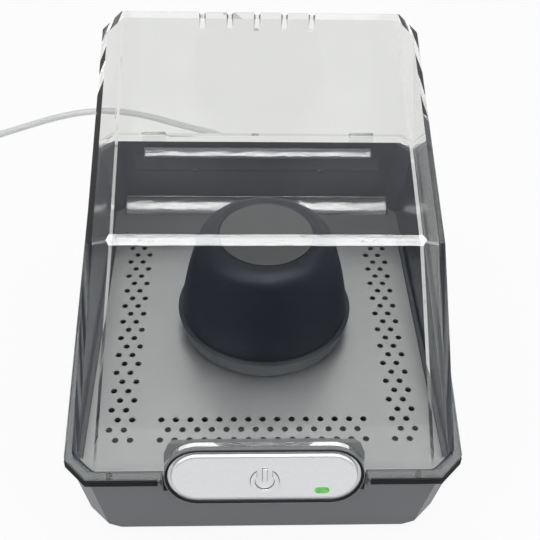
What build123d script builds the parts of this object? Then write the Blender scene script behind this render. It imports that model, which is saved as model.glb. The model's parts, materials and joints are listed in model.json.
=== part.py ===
from build123d import *
import math
import os

os.makedirs("parts", exist_ok=True)

# A table-top dryer for hearing aids. Origin on the table under the middle of the
# body, +X to the user's right, +Y to the back, +Z up, millimetres.

# ------------------------------------------------------------------ tub
base_width = 119.0  # across the sides, at the underside
base_length = 143.4  # front to back, at the underside
foot_height = 1.2  # table to the underside
side_draft = 7.1  # lean of each wall, degrees from upright
front_draft = 6.4
rear_draft = 3.1
rim_front_height = 36.0  # table to the rim, at its front edge
rim_angle = 11.1  # the rim rises to the back
wall = 2.4
floor_thickness = 3.2
corner_cut = 6.8
bottom_round = 2.0
bottom_corner_cut = 4.0
rear_bevel = 35.0  # slope of the rear wall's top, down to the back
rear_bevel_drop = 1.6  # rim to the bevel, at the wall's inner face
lip_out = 0.8
lip_height = 2.4
groove_high = 0.8  # rim to the groove round the lip
groove_low = 1.5
groove_depth = 0.4  # into the wall, behind the lip

# ------------------------------------------------------------------ lid
lid_wall = 2.4
lid_gap = 0.3  # rim to the lid's flange
flange_thickness = 1.6
lid_inset = 1.2  # rim's front edge to the lid's front face
crease_back = 34.7  # rim's front edge to the crease between front and top
crease_height = 108.0
lid_height = 127.4  # table to the top's rear edge
top_rear_in = 8.3  # rim's rear edge to the top's rear edge
front_bulge = 1.2
crease_cut = 1.9  # flat along the crease
lid_edge_cut = 7.0  # side facets, across the front, top and rear
lid_edge_drop = 5.0  # the same facets, on the side faces
lid_round = 1.2
side_lean = 8.6
side_flare = 3.8
side_inset = 2.2  # rim's side edge to the lid's side face, at the front corner
vent_count = 5
vent_pitch = 10.2
vent_width = 2.4
vent_length = 6.0
vent_shift = -1.4

# ------------------------------------------------------------------ tray
tray_top = 33.0
tray_thickness = 1.2
tray_margin = 1.6  # tub wall to the tray's side
tray_gap = 0.3
tray_ledge = 4.5
tray_front_gap = 0.9
tray_rear_gap = 20.0  # rear wall to the tray
shelf_thickness = 4.0
hole_radius = 1.1
hole_pitch = 5.0
hole_row = hole_pitch * math.sqrt(3) / 2
front_row_inset = 14.4  # tray's front edge to the first row of holes
side_strip_inset = 8.9  # tray's side to the outer holes
rear_row_inset = 3.0
tray_corner = 4.0

# ------------------------------------------------------------------ button
button_length = 62.8
button_height = 19.4
button_depth = 4.0
button_tilt = 74.0  # from flat
button_forward = 4.4  # tub's underside edge to the button's middle
button_centre_height = 36.1
button_gap = 0.3
button_travel = 1.0
button_edge = 1.2  # rounding of the raised face
button_lip = 1.0  # flat lip at the raised face's sides
button_lip_low = 1.6  # the same, below the raised face
button_lip_high = 0.3  # the same, above it
button_lip_depth = 1.6
button_skin = 2.0
collar_wall = 0.9
collar_gap = 0.4
housing_floor = 1.2
floor_behind = 2.0
running_gap = 0.08
guide_spread = 24.5  # button's middle to each guide pin
guide_radius = 1.5
switch_y = -1.5  # up the button's face, from its middle
switch_size = 6.0
plunger_radius = 1.6
lens_x = 18.7
lens_y = -4.7
lens_length = 4.8
lens_height = 2.4
lens_surround = 1.1
light_radius = 1.5
mark_radius = 4.6
mark_width = 1.4
mark_relief = 0.6
mark_drop = 0.8  # button's middle to the ring's middle
mark_gap = 5.2  # ring's open top
bar_length = 5.0
button_board_length = 44.0
button_board_width = 12.0
button_board_thickness = 1.2
button_board_y = -4.0
button_screw_x = 12.5
button_screw_radius = 1.0

# ------------------------------------------------------------------ rear
rear_depth = 9.3  # tub's underside edge to the back of the lamp housing
barrel_radius = 1.8
pin_radius = 0.8
pin_gap = 0.05
hinge_back = 1.3  # rim's rear edge to the pins
hinge_drop = 7.5  # the same, down from the rim
hinge_spread = 44.0
lid_knuckle = 10.0
tub_knuckle = 6.0
knuckle_gap = 0.3
sweep_gap = 0.5

# ------------------------------------------------------------------ pedestal
pedestal_x = 1.5
pedestal_y = 0.5
pedestal_radius = 31.2
ring_height = 8.0
dome_radius = 31.2
dome_height = 41.5  # tray to the pedestal's top
shoulder_radius = 24.8
shoulder_height = 37.0
top_radius = 19.6
pad_radius = 16.8
dome_wall = 2.4
peg_count = 3
peg_radius = 1.5
peg_gap = 0.1
peg_circle = pedestal_radius - 2.4

# ------------------------------------------------------------------ cord and adapter
cord_radius = 1.75
plug_radius = 4.5
plug_length = 22.0
coil_radius = 19.0
coil_rings = 2
coil_layers = 4
tie_thickness = 0.4
adapter_length = 48.0
adapter_width = 34.0
adapter_height = 28.0

# ------------------------------------------------------------------ shared small parts
screw_radius = 1.2
screw_gap = 0.05
screw_head = 2.3
boss_radius = 3.2
bumper_radius = 1.0
bumper_depth = 1.0
magnet_radius = 0.8
magnet_depth = 3.0

# ------------------------------------------------------------------ places worked out from the above
def slope(angle):
    return math.tan(math.radians(angle))


button_reach = button_forward + button_height / 2 * math.cos(math.radians(button_tilt))
tub_mid_y = (button_reach - rear_depth) / 2
front_y = tub_mid_y - base_length / 2
rear_y = tub_mid_y + base_length / 2
lip_front_y = front_y - (rim_front_height - foot_height) * slope(front_draft) - lip_out


def rim_height(y):
    return rim_front_height + (y - lip_front_y) * slope(rim_angle)


rear_rim = rim_height(rear_y + lip_out)
lip_rear_y = rear_y + (rear_rim - foot_height) * slope(rear_draft) + lip_out
hinge_y = lip_rear_y + hinge_back
hinge_z = rim_height(hinge_y) - hinge_drop
block_top = rear_rim + 6.0


def rim_plane(rise=0.0):
    """The sloping plane of the rim, raised square to itself."""
    lean = math.radians(rim_angle)
    return Plane(
        origin=(0, lip_front_y, rim_front_height),
        x_dir=(1, 0, 0),
        z_dir=(0, -math.sin(lean), math.cos(lean)),
    ).offset(rise)


def half_width(z):
    return base_width / 2 + (z - foot_height) * slope(side_draft)


def front_wall_y(z):
    return front_y - (z - foot_height) * slope(front_draft)


def rear_wall_y(z):
    return rear_y + (z - foot_height) * slope(rear_draft)


def tub_block(inset, z_low, z_high, cut, rounding=0.0):
    """The drafted block that the tub is cut from, drawn in by inset on all four walls."""
    with BuildPart() as block:
        for z in (z_low, z_high):
            near = front_wall_y(z) + inset
            far = rear_wall_y(z) - inset
            with BuildSketch(Plane(origin=(0, (near + far) / 2, z))):
                Rectangle(2 * (half_width(z) - inset), far - near)
        loft()
        upright = block.edges().filter_by(lambda edge: abs((edge % 0.5).Z) > 0.9)
        chamfer(upright, length=cut)
        if rounding > 0:
            short_edges = block.faces().sort_by(Axis.Z)[0].edges().sort_by(SortBy.LENGTH)[:4]
            chamfer(short_edges, length=bottom_corner_cut)
            fillet(block.faces().sort_by(Axis.Z)[0].edges(), radius=rounding)
    return block.part


def rim_slab(inset, low, high):
    """A slab of that block between two planes parallel to the rim."""
    with BuildPart() as slab:
        add(tub_block(inset, foot_height, block_top, corner_cut))
        split(bisect_by=rim_plane(high), keep=Keep.BOTTOM)
        split(bisect_by=rim_plane(low), keep=Keep.TOP)
    return slab.part


button_y = front_y - button_forward
tilt = math.radians(button_tilt)
button_plane = Plane(
    origin=(0, button_y, button_centre_height),
    x_dir=(1, 0, 0),
    z_dir=(0, -math.sin(tilt), math.cos(tilt)),
)
collar_length = button_length + 2 * (button_gap + collar_wall)
collar_height = button_height + 2 * (button_gap + collar_wall)
pod_half = collar_length / 2
pod_back_y = button_y + 10.0
pod_top = tray_top + 11.2

tray_width = 2 * (half_width(tray_top) - wall - tray_margin)
tray_front_y = front_wall_y(tray_top) + wall + tray_front_gap
tray_rear_y = rear_wall_y(tray_top) - wall - tray_rear_gap
tray_mid_y = (tray_front_y + tray_rear_y) / 2
tray_length = tray_rear_y - tray_front_y
shelf_bottom = tray_top - shelf_thickness
outer_step = int((tray_width / 2 - side_strip_inset) / hole_pitch)
side_rows = 1 + int((tray_length - front_row_inset - rear_row_inset) / hole_row)

# bottom cover, fan and boards
cover_width = base_width - 41.0
cover_length = base_length - 37.4
cover_thickness = 1.8
cover_ledge = 6.0
cover_gap = 0.3
cover_y = tub_mid_y - 1.2
cover_top = foot_height + cover_thickness
cover_screw_x = cover_width / 2 - 3.2
cover_screw_y = cover_length / 2 - 3.2
fan_size = 40.0
fan_depth = 10.0
fan_pitch = 32.0
fan_y = cover_y - 26.0
fan_post = 3.0
fan_low = cover_top + fan_post
fan_high = fan_low + fan_depth
heater_depth = 9.0
heater_high = fan_high + heater_depth
fan_bore = 19.0
fan_hub = 8.5
blade_count = 7
shaft_radius = 0.75
board_length = 56.0
board_width = 36.0
board_thickness = 1.6
board_y = cover_y + 25.0
board_low = cover_top + 6.0
board_high = board_low + board_thickness
driver_x = 28.0
driver_y = rear_y - 13.5
driver_length = 40.0
driver_width = 16.0
floor_top = foot_height + floor_thickness
driver_low = floor_top + 6.0
foot_radius = 5.5
foot_inset = 14.5
foot_recess = 0.8
foot_y = (front_y + foot_inset, rear_y - foot_inset)
foot_x = base_width / 2 - foot_inset

# lamp in the rear wall
window_height = 6.0
window_z = 54.3
ear = 4.8
ear_thickness = 2.2
ear_height = 9.0
window_length = 44.0
pane_thickness = 0.8
pane_recess = 0.9
pane_gap = 0.15
pane_low = 50.9
pane_high = 59.3
pane_length = 104.0
lamp_radius = 1.75
lamp_length = window_length - 9.5
housing_half = window_length / 2 + 2.5
housing_low = window_z - 12.6
housing_high = window_z + 5.0
ear_z = window_z - 3.0
housing_wall = 1.6
housing_back_y = rear_y + rear_depth
housing_inner_y = housing_back_y - housing_wall
lamp_y = housing_inner_y - 2.7
lamp_lean = math.radians(rear_draft)
inner_wall = Plane(
    origin=(0, rear_wall_y(window_z) - wall, window_z),
    x_dir=(1, 0, 0),
    z_dir=(0, -math.cos(lamp_lean), math.sin(lamp_lean)),
)
jack_z = 19.0
jack_nose = 4.0
barrel_bore = 2.75

bumper_places = ((50.0, 1.7), (half_width(rim_height(rear_y - 20)) - 1.0, 0.93 * base_length))
magnet_x = lid_knuckle / 2 - hinge_spread - magnet_depth
magnet_y = hinge_y + 0.4
magnet_z = hinge_z + 3.4

# ================================================================== base tub
tub_outer = tub_block(0, foot_height, block_top, corner_cut, bottom_round)
tub_inner = tub_block(wall, floor_top, block_top + 2, corner_cut - 1)
shelf = tub_block(wall - 0.4, shelf_bottom, tray_top, corner_cut - 1)
lip_ring = rim_slab(-lip_out, -lip_height, 0) - rim_slab(wall, -lip_height - 1, 1)
lip_groove = rim_slab(-lip_out - 1, -groove_low, -groove_high) - rim_slab(groove_depth, -groove_low - 1, 1)

with BuildPart() as base_tub:
    add(tub_outer)
    add(tub_inner, mode=Mode.SUBTRACT)
    split(bisect_by=rim_plane(), keep=Keep.BOTTOM)
    add(shelf)
    add(lip_ring)
    add(lip_groove, mode=Mode.SUBTRACT)
    # recess and opening for the tray
    with BuildSketch(Plane.XY.offset(tray_top)):
        with Locations((0, tray_mid_y)):
            RectangleRounded(tray_width + 2 * tray_gap, tray_length + 2 * tray_gap, tray_corner)
    extrude(amount=-tray_thickness, mode=Mode.SUBTRACT)
    with BuildSketch(Plane.XY.offset(tray_top)):
        with Locations((0, tray_mid_y)):
            Rectangle(tray_width - 2 * tray_ledge, tray_length - 2 * tray_ledge)
    extrude(amount=-shelf_thickness - 1, mode=Mode.SUBTRACT)
    # opening for the bottom cover
    with BuildSketch(Plane.XY.offset(foot_height)):
        with Locations((0, cover_y)):
            RectangleRounded(cover_width + 2 * cover_gap, cover_length + 2 * cover_gap, 3)
    extrude(amount=cover_thickness, mode=Mode.SUBTRACT)
    with BuildSketch(Plane.XY.offset(foot_height)):
        with Locations((0, cover_y)):
            Rectangle(cover_width - 2 * cover_ledge, cover_length - 2 * cover_ledge)
    extrude(amount=floor_thickness + 1, mode=Mode.SUBTRACT)
    with BuildSketch(Plane.XY.offset(cover_top)):
        with Locations((0, cover_y)):
            with GridLocations(2 * cover_screw_x, 2 * cover_screw_y, 2, 2):
                Circle(boss_radius)
    extrude(amount=7)
    with BuildSketch(Plane.XY.offset(foot_height)):
        with Locations((0, cover_y)):
            with GridLocations(2 * cover_screw_x, 2 * cover_screw_y, 2, 2):
                Circle(screw_radius + screw_gap)
    extrude(amount=8, mode=Mode.SUBTRACT)
    # feet sit in shallow recesses
    with BuildSketch(Plane.XY.offset(foot_height)):
        for y in foot_y:
            with Locations((foot_x, y), (-foot_x, y)):
                Circle(foot_radius)
    extrude(amount=foot_recess, mode=Mode.SUBTRACT)
    # posts for the lamp driver
    with BuildSketch(Plane.XY.offset(floor_top - 0.5)):
        with Locations((driver_x, driver_y)):
            with GridLocations(driver_length - 7, 0.1, 2, 1):
                Circle(boss_radius - 0.4)
    extrude(amount=driver_low - floor_top + 0.5)
    with BuildSketch(Plane.XY.offset(driver_low)):
        with Locations((driver_x, driver_y)):
            with GridLocations(driver_length - 7, 0.1, 2, 1):
                Circle(screw_radius + screw_gap)
    extrude(amount=-5, mode=Mode.SUBTRACT)
    # the button's collar passes through the front wall and the shelf
    with BuildSketch(button_plane.offset(4)):
        SlotOverall(collar_length + 2 * collar_gap, collar_height + 2 * collar_gap)
    extrude(amount=-16, mode=Mode.SUBTRACT)
    with BuildSketch(Plane.XY.offset(tray_top + 1)):
        with Locations((0, pod_back_y - 5)):
            Rectangle(collar_length + 2 * collar_gap, 10 + 2 * tray_gap)
    extrude(amount=-shelf_thickness - 2, mode=Mode.SUBTRACT)
    # shallow dimple under the button
    with BuildSketch(button_plane.offset(4)):
        with Locations((0, -2.0)):
            SlotOverall(button_length + 5, button_height + 5)
    extrude(amount=-6.4, mode=Mode.SUBTRACT)
    # window for the lamp, and a shallow recess for the pane on the inner face
    with BuildSketch(inner_wall):
        Rectangle(window_length, window_height)
    extrude(amount=wall + 1, both=True, mode=Mode.SUBTRACT)
    with BuildSketch(inner_wall):
        with Locations((0, (pane_low + pane_high) / 2 - window_z)):
            Rectangle(pane_length, pane_high - pane_low)
    extrude(amount=-pane_recess, mode=Mode.SUBTRACT)
    # screw holes for the lamp housing
    with BuildSketch(Plane.XZ.offset(-rear_y - 6)):
        with Locations((housing_half + ear / 2, ear_z), (-housing_half - ear / 2, ear_z)):
            Circle(screw_radius + screw_gap)
    extrude(amount=12, mode=Mode.SUBTRACT)
    # hole for the power jack's nose
    with BuildSketch(Plane.XZ.offset(-rear_y - 6)):
        with Locations((0, jack_z)):
            Circle(jack_nose + 0.1)
    extrude(amount=12, mode=Mode.SUBTRACT)
    # the rear wall's top slopes down to the back, so that the lid's arms pass behind it
    bevel_y = rear_wall_y(rear_rim) - wall
    bevel_z = rim_height(bevel_y) - rear_bevel_drop
    with BuildSketch(Plane.YZ.offset(-base_width)):
        with BuildLine():
            Polyline(
                (bevel_y, bevel_z),
                (bevel_y, block_top),
                (bevel_y + 10, block_top),
                (bevel_y + 10, bevel_z - 10 * slope(rear_bevel)),
                close=True,
            )
        make_face()
    extrude(amount=2 * base_width, mode=Mode.SUBTRACT)
    # hinge knuckles, two at each side
    knuckle_root_y = lip_rear_y - lip_out - 1
    for side in (-1, 1):
        for step in (-1, 1):
            knuckle_x = side * hinge_spread + step * (lid_knuckle + tub_knuckle + 2 * knuckle_gap) / 2
            with BuildSketch(Plane.YZ.offset(knuckle_x - tub_knuckle / 2)):
                with BuildLine():
                    Polyline(
                        (knuckle_root_y, hinge_z + 1.0),
                        (hinge_y, hinge_z + 1.0),
                        (hinge_y + barrel_radius, hinge_z),
                        (hinge_y, hinge_z - barrel_radius),
                        (knuckle_root_y, hinge_z - 2 * barrel_radius),
                        close=True,
                    )
                make_face()
                with Locations((hinge_y, hinge_z)):
                    Circle(barrel_radius)
            extrude(amount=tub_knuckle)
        with BuildSketch(Plane.YZ.offset(side * hinge_spread - lid_knuckle / 2 - knuckle_gap)):
            with Locations((hinge_y, hinge_z)):
                Circle(barrel_radius + sweep_gap)
        extrude(amount=lid_knuckle + 2 * knuckle_gap, mode=Mode.SUBTRACT)
        with BuildSketch(Plane.YZ.offset(side * hinge_spread - lid_knuckle / 2 - tub_knuckle - 1)):
            with Locations((hinge_y, hinge_z)):
                Circle(pin_radius)
        extrude(amount=lid_knuckle + 2 * tub_knuckle + 2, mode=Mode.SUBTRACT)
    # pockets for the lid's bumpers
    with BuildSketch(rim_plane()):
        for place_x, along in bumper_places:
            with Locations((place_x, along), (-place_x, along)):
                Circle(bumper_radius)
    extrude(amount=-bumper_depth, mode=Mode.SUBTRACT)
base_tub.part.label = "base_tub"
export_step(base_tub.part, "parts/base_tub.step")

# ================================================================== lid
crease_y = lip_front_y + crease_back
lid_front_y = lip_front_y + lid_inset
top_rear_y = lip_rear_y - top_rear_in
lid_rear_y = lip_rear_y - lid_inset
front_foot = (lid_front_y - 1.3, rim_front_height - 4)
front_middle = (
    (front_foot[0] + crease_y) / 2 - front_bulge * 0.9,
    (front_foot[1] + crease_height) / 2 + front_bulge * 0.43,
)
arm_y = lip_rear_y + lid_gap
arm_low = rim_height(hinge_y) + lid_gap
side_plane = Plane(
    origin=(half_width(rim_front_height) + lip_out - side_inset, lip_front_y, rim_front_height),
    x_dir=(slope(side_flare), 1, 0),
    z_dir=(1, -slope(side_flare), slope(side_lean)),
)

with BuildPart() as canopy:
    with BuildSketch(Plane.YZ.offset(-base_width)):
        with BuildLine():
            ThreePointArc(front_foot, front_middle, (crease_y, crease_height))
            Polyline(
                (crease_y, crease_height),
                (top_rear_y, lid_height),
                (lid_rear_y + 0.5, rear_rim - 4),
                front_foot,
            )
        make_face()
    extrude(amount=2 * base_width)
    split(bisect_by=side_plane, keep=Keep.BOTTOM)
    mirrored_plane = Plane(
        origin=(-side_plane.origin.X, side_plane.origin.Y, side_plane.origin.Z),
        z_dir=(-side_plane.z_dir.X, side_plane.z_dir.Y, side_plane.z_dir.Z),
    )
    split(bisect_by=mirrored_plane, keep=Keep.BOTTOM)
    for end in (-1, 0):
        side_face = canopy.faces().sort_by(Axis.X)[end]
        side_edges = side_face.edges().sort_by(SortBy.LENGTH)[:-1]
        chamfer(side_edges, length=lid_edge_drop, length2=lid_edge_cut, reference=side_face)
    along_crease = canopy.edges().filter_by(lambda edge: abs((edge @ 0.5).Y - crease_y) < 0.1)
    chamfer(along_crease.sort_by(SortBy.LENGTH)[-1], length=crease_cut)
    rear_corner = canopy.edges().filter_by(Axis.X).sort_by(Axis.Z)[-1]
    fillet(rear_corner, radius=lid_round)
    split(bisect_by=rim_plane(lid_gap), keep=Keep.TOP)

with BuildPart() as shell:
    add(canopy.part)
    offset(amount=-lid_wall, openings=shell.faces().sort_by(Axis.Z)[0])
lid_core = canopy.part - shell.part

with BuildPart() as lid_shell:
    add(rim_slab(0.2 - lip_out, lid_gap, lid_gap + flange_thickness))
    add(lid_core, mode=Mode.SUBTRACT)
    add(shell.part)
    # notch round the button's collar
    with BuildSketch(button_plane.offset(6)):
        SlotOverall(collar_length + 2 * collar_gap, collar_height + 2 * collar_gap)
    extrude(amount=-16, mode=Mode.SUBTRACT)
    # vent slots along the top's rear edge
    with BuildSketch(Plane.XY.offset(lid_height - 8)):
        with Locations((vent_shift, top_rear_y + 0.8)):
            with GridLocations(vent_pitch, 1, vent_count, 1):
                RectangleRounded(vent_width, vent_length, 1)
    extrude(amount=20, mode=Mode.SUBTRACT)
    # hinge knuckles
    for side in (-1, 1):
        with BuildSketch(Plane.YZ.offset(side * hinge_spread - lid_knuckle / 2)):
            with BuildLine():
                Polyline(
                    (arm_y, hinge_z),
                    (arm_y, arm_low),
                    (lid_rear_y - 0.4, arm_low),
                    (lid_rear_y - 0.4, arm_low + flange_thickness - 0.3),
                    (hinge_y - 0.3, arm_low + flange_thickness - 0.3),
                    (hinge_y + barrel_radius, hinge_z + 4),
                    (hinge_y + barrel_radius, hinge_z),
                    close=True,
                )
            make_face()
            with Locations((hinge_y, hinge_z)):
                Circle(barrel_radius)
        extrude(amount=lid_knuckle)
        for step in (-1, 1):
            knuckle_x = side * hinge_spread + step * (lid_knuckle + tub_knuckle + 2 * knuckle_gap) / 2
            with BuildSketch(Plane.YZ.offset(knuckle_x - tub_knuckle / 2 - knuckle_gap)):
                with Locations((hinge_y, hinge_z)):
                    Circle(barrel_radius + sweep_gap)
            extrude(amount=tub_knuckle + 2 * knuckle_gap, mode=Mode.SUBTRACT)
        with BuildSketch(Plane.YZ.offset(side * hinge_spread - lid_knuckle)):
            with Locations((hinge_y, hinge_z)):
                Circle(pin_radius + pin_gap)
        extrude(amount=2 * lid_knuckle, mode=Mode.SUBTRACT)
    # pocket for the magnet
    with BuildSketch(Plane.YZ.offset(magnet_x)):
        with Locations((magnet_y, magnet_z)):
            Circle(magnet_radius)
    extrude(amount=magnet_depth, mode=Mode.SUBTRACT)
lid_shell.part.label = "lid_shell"
export_step(lid_shell.part, "parts/lid_shell.step")

# ================================================================== tray
with BuildPart() as tray_plate:
    with BuildSketch(Plane.XY.offset(tray_top - tray_thickness)):
        with Locations((0, tray_mid_y)):
            RectangleRounded(tray_width, tray_length, tray_corner)
        with Locations((0, pod_back_y - 15 + tray_gap)):
            Rectangle(collar_length + 2 * tray_gap, 30, mode=Mode.SUBTRACT)
        first_row = tray_front_y + front_row_inset
        for row in range(3):
            count = 15 - row % 2
            for step in range(count):
                x = (step - (count - 1) / 2) * hole_pitch
                y = first_row + row * hole_row
                if y - hole_radius > pod_back_y + tray_gap + 0.4:
                    with Locations((x, y)):
                        Circle(hole_radius, mode=Mode.SUBTRACT)
        for row in range(side_rows):
            for step in (outer_step - 1, outer_step):
                x = (step + 0.5 * (row % 2)) * hole_pitch
                with Locations((x, first_row + row * hole_row), (-x, first_row + row * hole_row)):
                    Circle(hole_radius, mode=Mode.SUBTRACT)
    extrude(amount=tray_thickness)
    # holes for the pedestal's pegs
    with BuildSketch(Plane.XY.offset(tray_top)):
        with Locations((pedestal_x, pedestal_y)):
            with PolarLocations(peg_circle, peg_count):
                Circle(peg_radius + peg_gap)
    extrude(amount=-tray_thickness, mode=Mode.SUBTRACT)
tray_plate.part.label = "tray_plate"
export_step(tray_plate.part, "parts/tray_plate.step")

# ================================================================== bottom cover, its screws, the feet
with BuildPart() as bottom_cover:
    with BuildSketch(Plane.XY.offset(foot_height)):
        with Locations((0, cover_y)):
            RectangleRounded(cover_width, cover_length, 3)
    extrude(amount=cover_thickness)
    # posts for the fan and the control board
    with BuildSketch(Plane.XY.offset(cover_top)):
        with Locations((0, fan_y)):
            with GridLocations(fan_pitch, fan_pitch, 2, 2):
                Circle(2.8)
    extrude(amount=fan_post)
    with BuildSketch(Plane.XY.offset(cover_top)):
        with Locations((0, board_y)):
            with GridLocations(board_length - 8, board_width - 8, 2, 2):
                Circle(2.8)
    extrude(amount=board_low - cover_top)
    with BuildSketch(Plane.XY.offset(foot_height + 0.9)):
        with Locations((0, fan_y)):
            with GridLocations(fan_pitch, fan_pitch, 2, 2):
                Circle(screw_radius + screw_gap)
        with Locations((0, board_y)):
            with GridLocations(board_length - 8, board_width - 8, 2, 2):
                Circle(screw_radius + screw_gap)
    extrude(amount=12, mode=Mode.SUBTRACT)
    # intake slots under the fan
    with BuildSketch(Plane.XY.offset(foot_height)):
        for row in range(-4, 5):
            slot_y = row * 3.8
            slot_length = 2 * math.sqrt(fan_bore**2 - slot_y**2)
            with Locations((0, fan_y + slot_y)):
                SlotOverall(slot_length, 2.0)
    extrude(amount=cover_thickness, mode=Mode.SUBTRACT)
    with Locations((0, cover_y, foot_height)):
        with GridLocations(2 * cover_screw_x, 2 * cover_screw_y, 2, 2):
            Cylinder(
                screw_radius + screw_gap,
                cover_thickness,
                align=(Align.CENTER, Align.CENTER, Align.MIN),
                mode=Mode.SUBTRACT,
            )
            Cone(
                screw_head,
                screw_radius + screw_gap,
                screw_head - screw_radius - screw_gap,
                align=(Align.CENTER, Align.CENTER, Align.MIN),
                mode=Mode.SUBTRACT,
            )
bottom_cover.part.label = "bottom_cover"
export_step(bottom_cover.part, "parts/bottom_cover.step")

with BuildPart() as cover_screws:
    with Locations((0, cover_y, foot_height)):
        with GridLocations(2 * cover_screw_x, 2 * cover_screw_y, 2, 2):
            Cylinder(screw_radius, 7.5, align=(Align.CENTER, Align.CENTER, Align.MIN))
            Cone(
                screw_head,
                screw_radius,
                screw_head - screw_radius,
                align=(Align.CENTER, Align.CENTER, Align.MIN),
            )
            Box(
                0.6,
                2.6,
                0.6,
                align=(Align.CENTER, Align.CENTER, Align.MIN),
                mode=Mode.SUBTRACT,
            )
            Box(
                2.6,
                0.6,
                0.6,
                align=(Align.CENTER, Align.CENTER, Align.MIN),
                mode=Mode.SUBTRACT,
            )
cover_screws.part.label = "cover_screws"
export_step(cover_screws.part, "parts/cover_screws.step")

with BuildPart() as rubber_feet:
    with BuildSketch(Plane.XY):
        for y in foot_y:
            with Locations((foot_x, y), (-foot_x, y)):
                Circle(foot_radius)
    extrude(amount=foot_height + foot_recess)
    fillet(rubber_feet.edges().filter_by(lambda edge: (edge % 0.5).Z == 0).sort_by(Axis.Z)[:4], radius=0.8)
rubber_feet.part.label = "rubber_feet"
export_step(rubber_feet.part, "parts/rubber_feet.step")

# ================================================================== button housing and button
with BuildPart() as button_housing:
    # low pod standing on the tray's level behind the button
    with BuildSketch(Plane.XY.offset(shelf_bottom + 1)):
        with BuildLine():
            Polyline(
                (-pod_half, pod_back_y - 12),
                (-pod_half, pod_back_y - 3),
                (-pod_half + 3, pod_back_y),
                (pod_half - 3, pod_back_y),
                (pod_half, pod_back_y - 3),
                (pod_half, pod_back_y - 12),
                close=True,
            )
        make_face()
    extrude(amount=pod_top - shelf_bottom - 1)
    inside_lid = Plane(
        origin=(0, front_foot[0], front_foot[1]),
        z_dir=(0, front_foot[1] - crease_height, crease_y - front_foot[0]),
    ).offset(-lid_wall - 0.6)
    split(bisect_by=inside_lid, keep=Keep.BOTTOM)
    # collar round the button
    with BuildSketch(button_plane.offset(-1)):
        SlotOverall(collar_length, collar_height)
    extrude(amount=1 - button_depth - floor_behind - housing_floor)
    with BuildSketch(button_plane.offset(-1)):
        SlotOverall(button_length + 2 * button_gap, button_height + 2 * button_gap)
    extrude(amount=1 - button_depth - floor_behind, mode=Mode.SUBTRACT)
    # room for the button's board behind the floor
    with BuildSketch(button_plane.offset(-button_depth - floor_behind - housing_floor)):
        with Locations((0, button_board_y - 0.5)):
            Rectangle(button_board_length + 4, button_board_width + 5)
    extrude(amount=-button_board_thickness - 0.8, mode=Mode.SUBTRACT)
    # switch window, lamp window and screw holes
    with BuildSketch(button_plane.offset(-button_depth - floor_behind)):
        with Locations((0, switch_y)):
            Rectangle(switch_size + 1, switch_size + 1)
        with Locations((lens_x, lens_y)):
            Circle(light_radius + 0.7)
        with Locations((button_screw_x, switch_y), (-button_screw_x, switch_y)):
            Circle(button_screw_radius + screw_gap)
    extrude(amount=-housing_floor, mode=Mode.SUBTRACT)
    # guide holes, deep enough for the pins' travel
    with BuildSketch(button_plane.offset(-button_depth - floor_behind)):
        with Locations((guide_spread, 0), (-guide_spread, 0)):
            Circle(guide_radius + running_gap)
    extrude(amount=-housing_floor - button_travel - 0.6, mode=Mode.SUBTRACT)
button_housing.part.label = "button_housing"
export_step(button_housing.part, "parts/button_housing.step")

with BuildPart() as power_button:
    with BuildSketch(button_plane.offset(-button_lip_depth)):
        SlotOverall(button_length, button_height)
    extrude(amount=button_lip_depth - button_depth)
    with BuildSketch(button_plane.offset(-button_lip_depth)):
        with Locations((0, (button_lip_low - button_lip_high) / 2)):
            SlotOverall(button_length - 2 * button_lip, button_height - button_lip_low - button_lip_high)
    extrude(amount=button_lip_depth)
    front_edges = power_button.faces().sort_by(Axis((0, 0, 0), button_plane.z_dir))[-1].edges()
    fillet(front_edges, radius=button_edge)
    # hollow behind the skin, with a boss for the switch, a tube for the lens and two guide pins
    with BuildSketch(button_plane.offset(-button_skin - 0.2)):
        SlotOverall(button_length - 2 * button_skin, button_height - 2 * button_skin)
    extrude(amount=button_skin + 0.2 - button_depth, mode=Mode.SUBTRACT)
    with BuildSketch(button_plane.offset(-button_skin)):
        with Locations((0, switch_y)):
            Circle(plunger_radius + 0.8)
        with Locations((lens_x, lens_y)):
            SlotOverall(lens_length + 2 * lens_surround, lens_height + 2 * lens_surround)
    extrude(amount=button_skin - button_depth + 0.1)
    with BuildSketch(button_plane.offset(-button_skin)):
        with Locations((guide_spread, 0), (-guide_spread, 0)):
            Circle(guide_radius)
    extrude(amount=button_skin - button_depth - floor_behind - housing_floor + 0.2)
    with BuildSketch(button_plane):
        with Locations((lens_x, lens_y)):
            SlotOverall(lens_length, lens_height)
    extrude(amount=-button_depth, mode=Mode.SUBTRACT)
    # raised power mark: a ring open at the top and a bar in the gap
    with BuildSketch(button_plane.offset(-0.1)):
        with Locations((0, -mark_drop)):
            Circle(mark_radius)
            Circle(mark_radius - mark_width, mode=Mode.SUBTRACT)
            Rectangle(mark_gap, mark_radius, align=(Align.CENTER, Align.MIN), mode=Mode.SUBTRACT)
        with Locations((0, bar_length / 2 - mark_drop)):
            Rectangle(mark_width, bar_length)
    extrude(amount=mark_relief + 0.1)
power_button.part.label = "power_button"
export_step(power_button.part, "parts/power_button.step")

lens_rise = 0.15
with BuildPart() as led_lens:
    with BuildSketch(button_plane.offset(lens_rise)):
        with Locations((lens_x, lens_y)):
            SlotOverall(lens_length, lens_height)
    extrude(amount=-button_depth - lens_rise)
led_lens.part.label = "led_lens"
export_step(led_lens.part, "parts/led_lens.step")

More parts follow.
